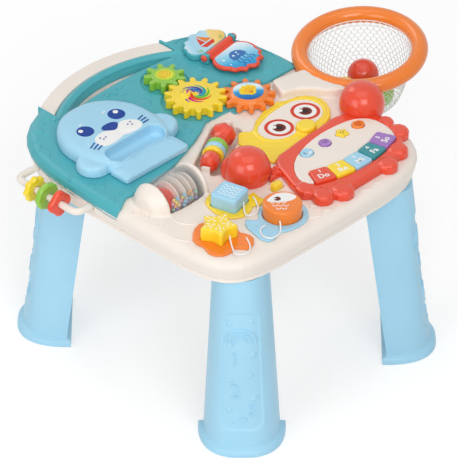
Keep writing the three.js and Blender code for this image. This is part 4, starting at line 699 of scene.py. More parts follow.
def pillow(points, height):
    """A low dome over an outline, its rim sunk"""
    centre = sum(points, Vector()) / len(points)
    levels = [(1, -PILLOW_SINK)] + [(across, rise * height) for across, rise in PILLOW_SHARES]
    return loft([[Vector((*(centre + (p - centre) * across).xy, rise)) for p in points]
                 for across, rise in levels])


# The camera stands where the photograph was taken from, and the room is plain and pale
CAMERA = {"azimuth": -45.08, "elevation": 35.39, "distance": 8100, "target": (22.14, 16.84, 150),
          "sensor": 36, "lens": 471.6}
FLOOR_REACH = 12000
FLOOR_DROP = 0.4
LAMP_TARGET = (0, 0, 200)
LAMPS = (
    # name, place, size across, power in watts
    ("key_lamp", (-1500, -2600, 2600), 2000, 52),
    ("fill_lamp", (-2900, -300, 1500), 1900, 26),
    ("back_lamp", (500, 2700, 2600), 1500, 14),
    ("top_lamp", (100, -100, 3600), 2600, 19),
)
WORLD_STRENGTH = 0.42
PALE = (0.9, 0.9, 0.9)
PALE_SHARE = 0.99
ROOM_SHARE = 0.3
ROOM_GLOW = 1.6


def look_at(thing, target):
    thing.rotation_euler = (Vector(target) - thing.location).to_track_quat("-Z", "Y").to_euler()


def make_camera():
    azimuth, elevation = math.radians(CAMERA["azimuth"]), math.radians(CAMERA["elevation"])
    level = math.cos(elevation)
    back = Vector((math.sin(azimuth) * level, -math.cos(azimuth) * level, math.sin(elevation)))
    target = place(*CAMERA["target"])
    data = bpy.data.cameras.new("photo_camera")
    data.sensor_width, data.lens = CAMERA["sensor"], CAMERA["lens"]
    data.clip_end = 10 * CAMERA["distance"] * MM
    camera = link("photo_camera", data)
    camera.location = target + back * CAMERA["distance"] * MM
    look_at(camera, target)
    bpy.context.scene.camera = camera


def make_lamps():
    for name, where, across, power in LAMPS:
        data = bpy.data.lights.new(name, "AREA")
        data.shape, data.size, data.energy = "SQUARE", across * MM, power
        lamp = link(name, data)
        lamp.location = place(*where)
        look_at(lamp, place(*LAMP_TARGET))


def seen_directly(recipe):
    """One for rays that show the room itself: from the camera, in a gloss or through something clear"""
    rays = [recipe.add("ShaderNodeLightPath", output=name)
            for name in ("Is Camera Ray", "Is Glossy Ray", "Is Transmission Ray")]
    return rays[0] + rays[1] + rays[2]


def make_floor():
    recipe = Recipe("pale_floor")
    tint = recipe.blend(recipe.noise(2, 2, 0.5), darker(PALE, PALE_SHARE), PALE)
    lit = recipe.add("ShaderNodeBsdfDiffuse", None, {"Color": tint})
    white = recipe.add("ShaderNodeEmission", None, {"Color": (1, 1, 1, 1), "Strength": ROOM_GLOW})
    share_white = seen_directly(recipe) * ROOM_SHARE
    recipe.add("ShaderNodeMixShader", None, {"Fac": share_white, 1: lit, 2: white}).shade()
    corners = [place(x * FLOOR_REACH, y * FLOOR_REACH, -FLOOR_DROP)
               for x, y in ((-1, -1), (1, -1), (1, 1), (-1, 1))]
    mesh = bpy.data.meshes.new("floor")
    mesh.from_pydata(corners, [], [(0, 1, 2, 3)])
    mesh.materials.append(recipe.material)
    link("floor", mesh)


def make_world():
    world = bpy.data.worlds.new("pale_room")
    bpy.context.scene.world = world
    recipe = Recipe.of_world(world)
    strength = seen_directly(recipe) * (1 - WORLD_STRENGTH) + WORLD_STRENGTH
    recipe.add("ShaderNodeBackground", None, {"Color": (1, 1, 1, 1), "Strength": strength}).shade()


class TOY_OT_stage(bpy.types.Operator):
    """Set up the pale room, its soft lamps and the photograph's camera"""
    bl_idname = "toy.stage"
    bl_label = "Room and camera"

    def execute(self, context):
        context.scene.view_settings.view_transform = "Standard"
        make_camera()
        make_lamps()
        make_floor()
        make_world()
        return {"FINISHED"}


# Cords: the routes are those of the CAD's own solids
CORD_ROUTES = {
    "square": ((-80.3, -112.3, 309), (-88, -121, 306), (-93, -130, 304), (-85, -136, 304), (-73, -132, 303.9),
               (-63, -119, 303.9), (-57, -107, 303.9)),
    "round": ((-77, -176, 309), (-82, -182, 306), (-92, -190, 304), (-107, -190, 304), (-111, -178, 304),
              (-103, -166, 303.9), (-92, -164, 303.9)),
    "star": ((-147, -153, 309), (-152, -160, 306), (-160, -172, 304), (-165, -183, 304), (-154, -191, 304),
             (-140, -184, 304), (-129, -166, 303.9)),
}
CORD_STEPS = 5
CORD_TWIST = 900


def make_cord(kind, material):
    """One limp cord, from the side of its peg to the hole in its plate"""
    route = smooth_path(CORD_ROUTES[kind], CORD_STEPS)
    curve = bpy.data.curves.new("string_" + kind, "CURVE")
    curve.dimensions = "3D"
    curve.bevel_depth = sizes().cord / 2
    curve.bevel_resolution = 3
    curve.use_fill_caps = True
    spline = curve.splines.new("POLY")
    spline.points.add(len(route) - 1)
    for point, where in zip(spline.points, route):
        point.co = (*place(*where), 1)
    curve.materials.append(material)
    thing = link("string_" + kind, curve)
    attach(thing, "table")
    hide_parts("cord_" + kind)
    whole = sum((b - a).length for a, b in zip(route, route[1:])) * MM


class TOY_OT_cords(bpy.types.Operator):
    """Lay the white cord of each peg"""
    bl_idname = "toy.cords"
    bl_label = "Peg cords"

    def execute(self, context):
        material = thread("white_cord", paint("white"), CORD_TWIST)
        for kind in CORD_ROUTES:
            make_cord(kind, material)
        return {"FINISHED"}


# Table shell, bottom cover, teal cover and handle
DECK = 299
SHELL_WAVES = (
    ((-160, -58), (-163, -72), (-158, -84), (-149, -92), (-139, -96)),
    ((-190, -78), (-193, -92), (-188, -106), (-182, -116)),
    ((-30, -116), (-36, -126), (-30, -136), (-35, -146)),
    ((-21, -122), (-27, -132), (-21, -142), (-25, -152)),
    ((-34, -188), (-22, -194), (-10, -190), (0, -195)),
    ((58, -193), (68, -198), (80, -194), (92, -198)),
)
SHELL_WAVE = {"width": 3.2, "share": 0.9}
SHELL_RINGS = ((-186, -20, 6), (-184, -36, 3.5), (-184, -62, 4), (-14, -176, 5), (-24, -168, 3))
SHELL_RING = {"width": 1.8, "share": 0.8}


class TOY_OT_shell(bpy.types.Operator):
    """Mould the cream shell and its bottom cover, with the faint relief on the deck"""
    bl_idname = "toy.shell"
    bl_label = "Shell and bottom cover"

    def execute(self, context):
        soften("top_shell", "cream")
        for node in ("bottom_cover", "battery_door"):
            chamfer(node, plastic("cream_below"))
        chamfer("sound_board", ink("circuit_board", "#2f6b46"))
        wave_height, ring_height = (relief() * kind["share"] for kind in (SHELL_WAVE, SHELL_RING))
        waves = [ridge(points, SHELL_WAVE["width"], wave_height) for points in SHELL_WAVES]
        rings = [bubble_ring(*spot, SHELL_RING["width"], ring_height) for spot in SHELL_RINGS]
        Moulding("top_shell").emboss("shell_relief", waves + rings, "cream")
        return {"FINISHED"}


TEAL_BUBBLES = ((-5, 151, 11), (12, 162, 4), (170, 89, 10), (186, 80, 4.5), (188, 96, 3), (-22, 174, 5),
                (92, 142, 4), (156, 221, 4), (-190, 62, 6), (-181, 50, 4), (-32, 51, 3.5), (-150, 204, 7),
                (-136, 212, 4), (-172, 190, 4), (20, 200, 3.5))
TEAL_WAVES = (
    ((-40, 207), (-33, 203), (-26, 206), (-28, 197), (-19, 203), (-18, 194), (-11, 194), (-13, 185),
     (-5, 185)),
    ((-14, 200), (-6, 206), (-3, 199), (6, 204)),
    ((94, 184), (100, 190), (96, 196), (104, 201)),
    ((126, 225), (136, 228), (148, 224)),
    ((200, 104), (203, 118), (199, 132), (202, 146)),
    ((-196, 40), (-190, 24), (-195, 12)),
    ((-182, 30), (-173, 25), (-177, 17)),
    ((-26, 58), (-17, 63), (-21, 71), (-12, 76)),
    ((-12, 56), (-4, 62), (-8, 70), (-1, 76)),
    ((-184, 148), (-177, 158), (-181, 168), (-173, 178)),
    ((-56, 203), (-66, 198), (-76, 202)),
)
TEAL_STARS = ((108, 155, 9), (-116, 210, 8), (-198, 96, 5))
TEAL_WAVE_WIDTH = 3.6
TEAL_STAR_SHARE = 0.55


class TOY_OT_cover(bpy.types.Operator):
    """Mould the teal cover with its bubbles, waves and stars, and the cream strip of the handle"""
    bl_idname = "toy.cover"
    bl_label = "Teal cover and handle"

    def execute(self, context):
        soften("teal_cover", "teal")
        soften("handle_grip", "cream")
        domes = [bubble(*spot, relief()) for spot in TEAL_BUBBLES]
        waves = [ridge(points, TEAL_WAVE_WIDTH, relief()) for points in TEAL_WAVES]
        stars = [pillow(star_outline(x, y, radius, radius * TEAL_STAR_SHARE), relief())
                 for x, y, radius in TEAL_STARS]
        Moulding("teal_cover").emboss("cover_relief", domes + waves + stars, "teal")
        return {"FINISHED"}


# Legs: a D-shaped section that leans out and widens down to a flange at the floor
LEG = {"top": 261.4, "plug_top": 268.2, "flange": 7, "flange_height": 10, "wall": 3, "fullness": 0.8,
       "plug_inset": 8}
LEG_FOOT = {"x": 181, "y": 210, "width": 102, "depth": 60}
LEG_HEAD = {"x": 162, "y": 189, "width": 73, "depth": 66}
LEG_PANEL = {"low": 36, "high": 214, "half_share": 0.6, "corner": 14, "depth": 2.1, "slope": 2.0}
LEG_FLANGE_SHARES = ((0.55, 1), (0.8, 0.8), (0.95, 0.45))
LEG_EASE = 0.6
LEG_LEDGE = (0.8, 2.5, 4)
LEG_PLUG_EDGE = 0.8
LEG_PLUG_FLAT = 6
LEG_ARC = 64
LEG_RISE = 1.8
LEG_STUDS = ((-16, 196, 4), (14, 200, 3), (15, 150, 5), (-14, 112, 3), (12, 118, 3.5), (-17, 66, 4),
             (17, 84, 5), (12, 58, 2.5), (-12, 50, 3))
RAINBOW = {"x": -1, "z": 168, "radii": (20, 14, 8), "thick": 1.7, "step": 12}
LEG_DIGITS = (("1", -10, 142, 26), ("2", -9, 94, 30), ("3", 13, 66, 22))
LEG_STARS = ((-15, 166, 5.5), (2, 52, 6.5))
LEG_STAR = {"inner_share": 0.5, "share": 0.8}


def leg_part(z):
    """How far up its shaft a height is, from 0 over the flange to 1 under the deck"""
    return (z - LEG["flange_height"]) / (LEG["top"] - LEG["flange_height"])


def leg_measure(name, z):
    return LEG_FOOT[name] + (LEG_HEAD[name] - LEG_FOOT[name]) * leg_part(z)


def leg_at(sides, z, across_share, grow=0.0, panel=True):
    """A point on a leg's outward face: how high, and how far across as a share of its half width"""
    x, y, width, depth = (leg_measure(name, z) for name in ("x", "y", "width", "depth"))
    half, depth = width / 2 + grow, depth + 2 * grow
    turn = math.asin(max(-1, min(1, abs(across_share) ** (1 / LEG["fullness"]))))
    reach = grow - depth + depth * math.cos(turn) ** LEG["fullness"]
    if panel:
        reach -= LEG_PANEL["depth"] * panel_share(across_share * half, z, half)
    out = Vector((*sides, 0)).normalized()
    aside = Vector((-out.y, out.x, 0))
    return Vector((sides[0] * x, sides[1] * y, z)) + out * reach + aside * across_share * half


def panel_share(across, z, half):
    """How far into the sunk panel a place lies: one well inside, and nothing outside"""
    low, high, corner = LEG_PANEL["low"], LEG_PANEL["high"], LEG_PANEL["corner"]
    past_side = abs(across) - half * LEG_PANEL["half_share"] + corner
    past_end = abs(z - (low + high) / 2) - (high - low) / 2 + corner
    outside = math.hypot(max(past_side, 0), max(past_end, 0)) + min(max(past_side, past_end), 0) - corner
    part = max(0, min(1, -outside / LEG_PANEL["slope"]))
    return part * part * (3 - 2 * part)


def leg_loop(sides, z, grow=0.0, panel=False):
    turns = [math.pi * (i / LEG_ARC - 0.5) for i in range(LEG_ARC + 1)]
    across_shares = [math.copysign(abs(math.sin(t)) ** LEG["fullness"], t) for t in turns]
    return [leg_at(sides, z, across_share, grow, panel) for across_share in across_shares]


def leg_levels(sides):
    """The leg's loops: round the flange, up the shaft and over the plug"""
    flange, tall, top, plug = LEG["flange"], LEG["flange_height"], LEG["top"], -LEG["plug_inset"]
    ledge, ledge_end, shaft_start = (tall + rise for rise in LEG_LEDGE)
    profile = [(0, flange - LEG_EASE), (LEG_EASE, flange)]
    profile += [(tall * rise, flange * out) for rise, out in LEG_FLANGE_SHARES]
    profile += [(ledge, LEG_EASE), (ledge_end, 0)]
    steps = int((top - tall) / LEG_RISE)
    shaft = [shaft_start + (top - shaft_start) * i / steps for i in range(steps + 1)]
    over = [(top, plug), (LEG["plug_top"] - LEG_PLUG_EDGE, plug), (LEG["plug_top"], plug - LEG_PLUG_EDGE),
            (LEG["plug_top"], plug - LEG_PLUG_FLAT)]
    return ([leg_loop(sides, z, grow) for z, grow in profile]
            + [leg_loop(sides, z, panel=True) for z in shaft]
            + [leg_loop(sides, z, grow) for z, grow in over])


def leg_shape(sides):
    """The outer skin joined along the foot's rim to the hollow inside"""
    points, faces = loft(leg_levels(sides))
    rim, roof = (leg_loop(sides, z, -LEG["wall"]) for z in (0, LEG["top"] - LEG["wall"]))
    count, start = len(roof), len(points)
    faces = [face for face in faces if face != tuple(reversed(range(count)))]
    faces += [(i, start + i, start + (i + 1) % count, (i + 1) % count) for i in range(count)]
    hollow = [tuple(start + i for i in (a, d, c, b)) for a, b, c, d in bands(count, 1)]
    return points + rim + roof, faces + hollow + [tuple(start + count + i for i in range(count))]


def on_leg(sides, across, z):
    """A place in the sunk panel, in millimetres across and up, and the way it faces"""
    half = leg_measure("width", z) / 2
    where = leg_at(sides, z, across / half)
    aside = leg_at(sides, z, (across + 1) / half) - where
    above = leg_at(sides, z + 1, across / half) - where
    return where, aside.cross(above).normalized()


def raised_on_leg(sides, shape, across, z, height):
    """A flat shape stood up on the panel"""
    points, faces = shape
    facing = on_leg(sides, across, z)[1]
    on_face = [on_leg(sides, across + p.x, z + p.y)[0] + facing * height for p in points]
    return thickened((on_face, faces), facing * height * 2)


def leg_relief(sides):
    shapes = []
    for across, z, radius in LEG_STUDS:
        where, facing = on_leg(sides, across, z)
        shapes.append(turned_to(bubble(0, 0, radius, relief()), facing, where))
    for radius in RAINBOW["radii"]:
        turns = [math.radians(a) for a in range(0, 181, RAINBOW["step"])]
        arc = [on_leg(sides, RAINBOW["x"] + radius * math.cos(t), RAINBOW["z"] + radius * math.sin(t))[0]
               for t in turns]
        shapes.append(tube(arc, RAINBOW["thick"], 8))
    for text, across, z, size in LEG_DIGITS:
        shapes.append(raised_on_leg(sides, words(text, size), across, z, relief()))
    for across, z, radius in LEG_STARS:
        star = blob(star_outline(0, 0, radius, radius * LEG_STAR["inner_share"]), 2)
        shapes.append(raised_on_leg(sides, star, across, z, relief() * LEG_STAR["share"]))
    return gathered(shapes)


class TOY_OT_legs(bpy.types.Operator):
    """Mould the four light-blue legs, each with its sunk panel of low relief"""
    bl_idname = "toy.legs"
    bl_label = "Legs"

    def execute(self, context):
        for leg in LEGS:
            sides = (1 if leg.endswith("right") else -1, 1 if leg.startswith("back") else -1)
            sky = plastic("sky")
            piece("shaft_" + leg, leg_shape(sides), sky, replaces=["leg_" + leg])
            piece("relief_" + leg, leg_relief(sides), sky)
        return {"FINISHED"}


# Gears
SECOND_LIFT = 0.32
THIRD_LIFT = 0.46
GEARS = {
    # colour: place, radius of the print
    "green": (51.97, 169.1, 14.5),
    "yellow": (48, 106, 22.5),
    "orange": (104.2, 61.8, 21),
}
DISC_TOP = 313
CURL = {"inner": 1, "share": 0.66, "turns": 2.6, "start": 20, "width": 1.1}
SWIRL = ("#1d78c1", "#7a3fa6", "#d3257c", "#e8432c", "#6fbf2f", "#19a3a8", "#3c50a8")
SWIRL_ARM = {"inner": 4, "margin": 1.5, "turns": 0.42, "width": 4.2, "end_share": 0.25, "swell_share": 0.95,
             "lean": 0.8}
SEA_STOPS = ((0, "#0d5fa8"), (0.45, "#2f9bd6"), (0.62, "#bfe6f5"), (0.8, "#f4fbfd"), (1, "#9fd8ee"))
SEA_SHARES = {"start": (-0.5, -0.8), "run": (1.1, 1.5)}
FAN_REACH = 13.5
FAN_SHARES = ((-0.25, -0.85), (-0.45, -0.6), (-0.95, -0.1), (-1.0, 0.25), (-0.75, 0.5), (-0.6, 0.8),
              (-0.3, 0.75), (0, 1), (0.3, 0.75), (0.6, 0.8), (0.75, 0.5), (1.0, 0.25), (0.95, -0.1),
              (0.45, -0.6), (0.25, -0.85))
FAN_RIBS = {"turns": (-0.95, -0.5, 0, 0.5, 0.95), "from": -8, "centre": -6, "across": 10, "up": 12,
            "width": 0.9}


def spiral(x, y, inner, outer, turns, start, steps):
    path = []
    for i in range(steps + 1):
        part = i / steps
        turn = math.radians(start) + WHOLE * turns * part
        radius = inner + (outer - inner) * part
        path.append(Vector((x + radius * math.cos(turn), y + radius * math.sin(turn), 0)))
    return path


def swirl_taper(part):
    return SWIRL_ARM["end_share"] + SWIRL_ARM["swell_share"] * math.sin(math.pi * part ** SWIRL_ARM["lean"])


def print_green_gear(gear, x, y, radius):
    """A pale glow with an amber curl"""
    stops = ((0, "#fff04a"), (0.62, "#e8e840"), (1, "#9ccc3f"))
    glow = toned_ink("green_disc", stops, place(x, y, DISC_TOP), radius * MM)
    gear.print("gear_green_disc", [circle_print(x, y, radius)], glow)
    path = spiral(x, y, CURL["inner"], radius * CURL["share"], CURL["turns"], CURL["start"], 40)
    gear.print("gear_green_spiral", [stroke(path, CURL["width"])], ink("amber", "#e08a1e"), SECOND_LIFT)


def print_yellow_gear(gear, x, y, radius):
    """A swirl of coloured arms"""
    gear.print("gear_yellow_disc", [circle_print(x, y, radius)], ink("disc_yellow", "#fbe04a"))
    for i, code in enumerate(SWIRL):
        path = spiral(x, y, SWIRL_ARM["inner"], radius - SWIRL_ARM["margin"], SWIRL_ARM["turns"],
                      360 * i / len(SWIRL), 24)
        gear.print(f"gear_yellow_arm_{i + 1}", [stroke(path, SWIRL_ARM["width"], swirl_taper)],
                   ink(f"swirl_{i + 1}", code), SECOND_LIFT)


def print_orange_gear(gear, x, y, radius):
    """A fan shell over the sea"""
    start, run = (Vector((*pair, 0)) * radius for pair in (SEA_SHARES["start"], SEA_SHARES["run"]))
    sea = toned_ink("orange_disc", SEA_STOPS, place(x + start.x, y + start.y, DISC_TOP), run * MM)
    gear.print("gear_orange_disc", [circle_print(x, y, radius)], sea)
    fan = smooth_path([(x + FAN_REACH * a, y + FAN_REACH * b) for a, b in FAN_SHARES], 4, closed=True)
    gear.print("gear_orange_fan", [blob(fan)], ink("fan_yellow", "#fbd62c"), SECOND_LIFT)
    ribs = []
    for t in FAN_RIBS["turns"]:
        end = (x + FAN_RIBS["across"] * math.sin(t), y + FAN_RIBS["centre"] + FAN_RIBS["up"] * math.cos(t))
        ribs.append(stroke(line((x, y + FAN_RIBS["from"]), end), FAN_RIBS["width"]))
    gear.print("gear_orange_ribs", ribs, ink("rib_orange", "#ee8a2a"), THIRD_LIFT)


class TOY_OT_gears(bpy.types.Operator):
    """Mould the three meshing gears and print their discs"""
    bl_idname = "toy.gears"
    bl_label = "Gears"

    def execute(self, context):
        printers = (print_green_gear, print_yellow_gear, print_orange_gear)
        for (tint, spot), print_gear in zip(GEARS.items(), printers):
            node = "gear_" + tint
            soften(node, tint)
            print_gear(Moulding(node, body=node), *spot)
        return {"FINISHED"}


# Seal
SEAL_EYES = ((-129.9, 135), (-72, 135.4))
SEAL_EYE = 12
SEAL_SHINES = ((-134.6, 139.2, 3.4), (-69.5, 139.8, 3.7))
SEAL_BROWS = (((-127, 150), (-122, 150.5)), ((-84, 149), (-79, 151.5)))
SEAL_NOSE = ((-112, 121), (-108, 126), (-99, 127.5), (-90, 125.5), (-86, 120), (-90, 114), (-99, 109),
             (-108, 114.5))
SEAL_MUZZLE = ((-139, 99), (-138, 107.5), (-131, 114.5), (-120, 117), (-108, 115.5), (-99, 111.5),
               (-90, 115.5), (-80, 118), (-69, 113), (-62.5, 104), (-63.5, 95), (-69, 90.5), (-80, 89.5),
               (-92, 90.5), (-99, 93), (-107, 91), (-118, 89), (-130, 90), (-136, 93))
SEAL_WHISKERS = (((-151.5, 102.5), (-141, 106)), ((-150, 97.6), (-139.5, 100.5)),
                 ((-147.5, 92.8), (-137.5, 95.2)), ((-61, 105), (-50.5, 107.5)),
                 ((-60.5, 100), (-49.5, 101.8)), ((-61.5, 95), (-50.5, 96)))
SEAL_DOTS = ((-127.7, 109), (-126, 103.6), (-120.8, 105.6), (-79, 106.6), (-72.6, 108.6), (-74.4, 102.6))
SEAL_WIDTHS = {"whisker": 1.7, "brow": 1.8, "dot": 1.3}
SEAL_LIFTS = {"muzzle": 0.3, "eyes": 0.3, "dots": 0.6, "shines": 0.7, "nose": 0.75}


class TOY_OT_seal(bpy.types.Operator):
    """Mould the light-blue seal tray and print the seal's face"""
    bl_idname = "toy.seal"
    bl_label = "Seal tray"

    def execute(self, context):
        soften("seal_console", "sky")
        navy, white = ink("navy"), ink("white")
        whiskers = [stroke(line(*ends), SEAL_WIDTHS["whisker"]) for ends in SEAL_WHISKERS]
        shines = [circle_print(*spot, count=16) for spot in SEAL_SHINES]
        brows = [stroke(line(*ends), SEAL_WIDTHS["brow"]) for ends in SEAL_BROWS]
        prints = {
            "muzzle": ([blob(smooth_path(SEAL_MUZZLE, 3, closed=True), 6)], white),
            "eyes": ([circle_print(x, y, SEAL_EYE) for x, y in SEAL_EYES], navy),
            "nose": ([blob(smooth_path(SEAL_NOSE, 4, closed=True), 4)] + whiskers, navy),
            "dots": ([circle_print(x, y, SEAL_WIDTHS["dot"], count=12) for x, y in SEAL_DOTS], navy),
            "shines": (shines + brows, white),
        }
        seal = Moulding("seal_console")
        for name, (shapes, material) in prints.items():
            seal.print("seal_" + name, shapes, material, SEAL_LIFTS[name])
        return {"FINISHED"}


# Picture book: its places are pairs, along the spine and away from it
BOOK = {"x": 152, "y": 166, "bearing": 9, "half_spine": 33, "hinge": 6, "margin": 4.5,
        "pad_margin_share": 0.45}
PICTURE_FAR = {1: 50, -1: 66}
BOOK_SHELL_SHARES = ((-0.62, 0), (-0.95, 0.1), (-1.12, 0.3), (-1.08, 0.5), (-0.98, 0.58), (-0.92, 0.74),
                     (-0.7, 0.8), (-0.58, 0.93), (-0.32, 0.9), (-0.14, 1), (0.14, 1), (0.32, 0.9),
                     (0.58, 0.93), (0.7, 0.8), (0.92, 0.74), (0.98, 0.58), (1.08, 0.5), (1.12, 0.3),
                     (0.95, 0.1), (0.62, 0))
BOOK_LIFT = 0.34
PAD_STOPS = ((0, "#f6cf72"), (0.3, "#f8dc8e"), (0.36, "#bfe3ee"), (0.75, "#a9d8ef"), (1, "#d9effa"))
PAD_RUN = ((26, 8), (-26, 46))
BOAT = {"hull": ((-13, 20), (13, 19), (8, 12.5), (-9, 13)), "sail": ((1.2, 22), (13, 22), (1.2, 42)),
        "jib": ((-1, 38), (-11, 23), (-1, 22))}
GRASS = (((-24, 12), (-25, 18)), ((-21, 11), (-20, 17)), ((24, 12), (25, 18)), ((21, 10), (20, 15)))
GRASS_WIDTH = 1.6
PAGE_STOPS = ((0, "#eaf7fc"), (0.35, "#9ed8f0"), (0.7, "#3fb0e0"), (1, "#1889c9"))
PAGE_RUN = ((10, -10), (-14, -60))
JELLY_BELL = ((-14, -36), (-12, -27), (-6, -21), (1, -19.5), (8, -22), (13, -28), (14, -36), (7, -38.5),
              (0, -36.5), (-7, -38.5))
JELLY_ARMS = (((-9, -38), (-12, -44), (-8, -49), (-11, -54)), ((-2.5, -37), (-5, -44), (0, -49), (-3, -55)),
              ((4, -37), (2, -44), (7, -48), (4, -54)), ((10, -38), (9, -44), (14, -47), (12, -52)))
JELLY_ARM_WIDTH = 1.9
PAGE_BUBBLES = ((-5, -28, 2), (4, -26, 1.6), (2, -31, 1.2), (-22, -24, 2.2), (22, -26, 1.6), (-24, -38, 1.3))


def in_book(u, v):
    """A point of the book, u along its spine and v away from it, in the table's frame"""
    turn = math.radians(BOOK["bearing"])
    return Vector((BOOK["x"] + u * math.cos(turn) - v * math.sin(turn),
                   BOOK["y"] + u * math.sin(turn) + v * math.cos(turn), 0))


def book_blob(corners, rings=1):
    return blob([in_book(u, v) for u, v in corners], rings)


def book_strokes(paths, width):
    return [stroke([in_book(p.x, p.y) for p in smooth_path(points, 5)], width) for points in paths]


def picture(side, margin, rings):
    """The scalloped ground of one picture, on one side of the spine"""
    far, hinge = PICTURE_FAR[side], BOOK["hinge"]
    corners = [(u * BOOK["half_spine"], side * (hinge + v * (far - hinge))) for u, v in BOOK_SHELL_SHARES]
    outline = smooth_path(corners, 3, closed=True)
    if side > 0:
        outline = outline[::-1]
    outline = [Vector((p.x, side * max(side * p.y, hinge), 0)) for p in outline]
    return book_blob([p.xy for p in inset(outline, margin)], rings)


def book_tone(name, stops, run):
    start, end = (in_book(*place_on_run) for place_on_run in run)
    return toned_ink(name, stops, place(*start), (end - start) * MM)


def print_pad():
    pad = Moulding("book_base")
    ground = picture(1, BOOK["margin"] * BOOK["pad_margin_share"], 4)
    pad.print("pad_picture", [ground], book_tone("pad_picture", PAD_STOPS, PAD_RUN))
    pad.print("pad_boat", [book_blob(BOAT["hull"]), book_blob(BOAT["jib"])], ink("boat_red", "#e0412c"),
              BOOK_LIFT)
    pad.print("pad_sail", [book_blob(BOAT["sail"])], ink("boat_orange", "#f0883a"), BOOK_LIFT)
    pad.print("pad_grass", book_strokes(GRASS, GRASS_WIDTH), ink("grass", "#7fb83c"), BOOK_LIFT)


def print_page():
    page = Moulding("book_page", body="book_page")
    sea = book_tone("page_picture", PAGE_STOPS, PAGE_RUN)
    page.print("page_picture", [picture(-1, BOOK["margin"], 5)], sea)
    jelly = [book_blob(JELLY_BELL, 2)] + book_strokes(JELLY_ARMS, JELLY_ARM_WIDTH)
    page.print("page_jelly", jelly, ink("jelly_blue", "#3f78b8"), BOOK_LIFT)
    spots = []
    for u, v, radius in PAGE_BUBBLES:
        centre = in_book(u, v)
        spots.append(blob(ring(centre.x, centre.y, radius, count=12), 1))
    page.print("page_bubbles", spots, ink("foam", "#dff3fb"), THIRD_LIFT)


class TOY_OT_book(bpy.types.Operator):
    """Mould the scalloped picture book, its red spine and two small sea pictures"""
    bl_idname = "toy.book"
    bl_label = "Picture book"

    def execute(self, context):
        soften("book_base", "teal")
        soften("book_page", "red")
        soften("book_spine", "red")
        print_pad()
        print_page()
        return {"FINISHED"}


# Roller drum
DRUM = {"x": -124, "y": -23, "half": 32, "end": 27.5, "middle": 31, "wall": 2, "axle": 3.5, "reach": 37,
        "bore_gap": 0.3}
DRUM_STEPS = 16
CONE_TIP = 3.2
# Each pair is a radius and how far it lies from the inside of the drum's end
CONE = ((DRUM["axle"], 1), (24, 2.4), (23, 6), (17, 16), (11, 24), (4.5, 29), (DRUM["axle"], 32))
DISC = {"bore": 4, "half_thick": 1.2, "edge": 1, "flat": 0.6}
# Each disc's place as a share of the drum's length, and its radius as a share of the drum's end
DISC_SHARES = ((-0.12, 0.84), (0.07, 0.88), (0.24, 0.86), (0.39, 0.8))
BEAD = {"radius": 2.7, "gap": 0.2, "disc_gap": 1.25, "columns": 9, "rows": 12, "seed": 11}
BEAD_SHARES = {"first": -0.34, "step": 0.094, "stagger": 0.047, "jitter": 0.006, "end": 0.44}
BEAD_ARCS = ((-96, -206), (-104, -198))
BEAD_TINTS = ("#f4a9bd", "#f8e08a", "#a9dcc9", "#b9a8dd", "#f7c08f", "#9fd3ee")


def drum_radius(part, extra=0.0):
    """The barrel's radius at a share of its length from the middle"""
    return DRUM["middle"] + extra - (DRUM["middle"] - DRUM["end"]) * (2 * part) ** 2


def along_drum(shape):
    return turned_to(shape, (1, 0, 0), (DRUM["x"], DRUM["y"], DECK))


def drum_glass():
    half, wall = DRUM["half"], DRUM["wall"]
    inner, bore = half - wall, DRUM["axle"] + DRUM["bore_gap"]
    parts = [i / DRUM_STEPS - 0.5 for i in range(DRUM_STEPS + 1)]
    outside = [(drum_radius(p), p * 2 * half) for p in parts]
    inside = [(drum_radius(p, -wall), p * 2 * inner) for p in reversed(parts)]
    profile = outside + [(bore, half), (bore, inner)] + inside + [(bore, -inner), (bore, -half), outside[0]]
    return along_drum(lathe(profile, 64))


def drum_cone():
    inner, reach = DRUM["half"] - DRUM["wall"], DRUM["reach"]
    profile = [(0, -reach), (CONE_TIP, -reach)] + [(radius, far - inner) for radius, far in CONE]
    return along_drum(lathe(profile + [(DRUM["axle"], reach), (0, reach)]))


def drum_disc(part, size_share):
    z, radius = part * 2 * DRUM["half"], size_share * DRUM["end"]
    bore, half_thick, edge, flat = DISC["bore"], DISC["half_thick"], DISC["edge"], DISC["flat"]
    return along_drum(lathe([(bore, z - half_thick), (radius - edge, z - half_thick), (radius, z - flat),
                             (radius, z + flat), (radius - edge, z + half_thick), (bore, z + half_thick),
                             (bore, z - half_thick)]))


def bead_spots():
    """Beads heap against the front of the barrel in two layers, between the discs"""
    chance = random.Random(BEAD["seed"])
    size, length_of_drum = BEAD["radius"], 2 * DRUM["half"]
    spots = []
    for layer, (first, last) in enumerate(BEAD_ARCS):
        reach_share = 1 - layer * 2 * size / DRUM["middle"]
        rows = BEAD["rows"] - 2 * layer
        for row in range(rows):
            turn = math.radians(first + (last - first) * row / (rows - 1))
            for column in range(BEAD["columns"]):
                part = (BEAD_SHARES["first"] + BEAD_SHARES["step"] * column
                        + BEAD_SHARES["stagger"] * (row % 2))
                part += chance.uniform(-BEAD_SHARES["jitter"], BEAD_SHARES["jitter"])
                by_disc = any(abs(part - disc) * length_of_drum < size + BEAD["disc_gap"]
                              for disc, _ in DISC_SHARES)
                if by_disc or abs(part) > BEAD_SHARES["end"]:
                    continue
                reach = (drum_radius(part, -DRUM["wall"]) - size - BEAD["gap"]) * reach_share
                spots.append((DRUM["x"] + part * length_of_drum, DRUM["y"] + reach * math.cos(turn),
                              DECK + reach * math.sin(turn)))
    chance.shuffle(spots)
    return spots


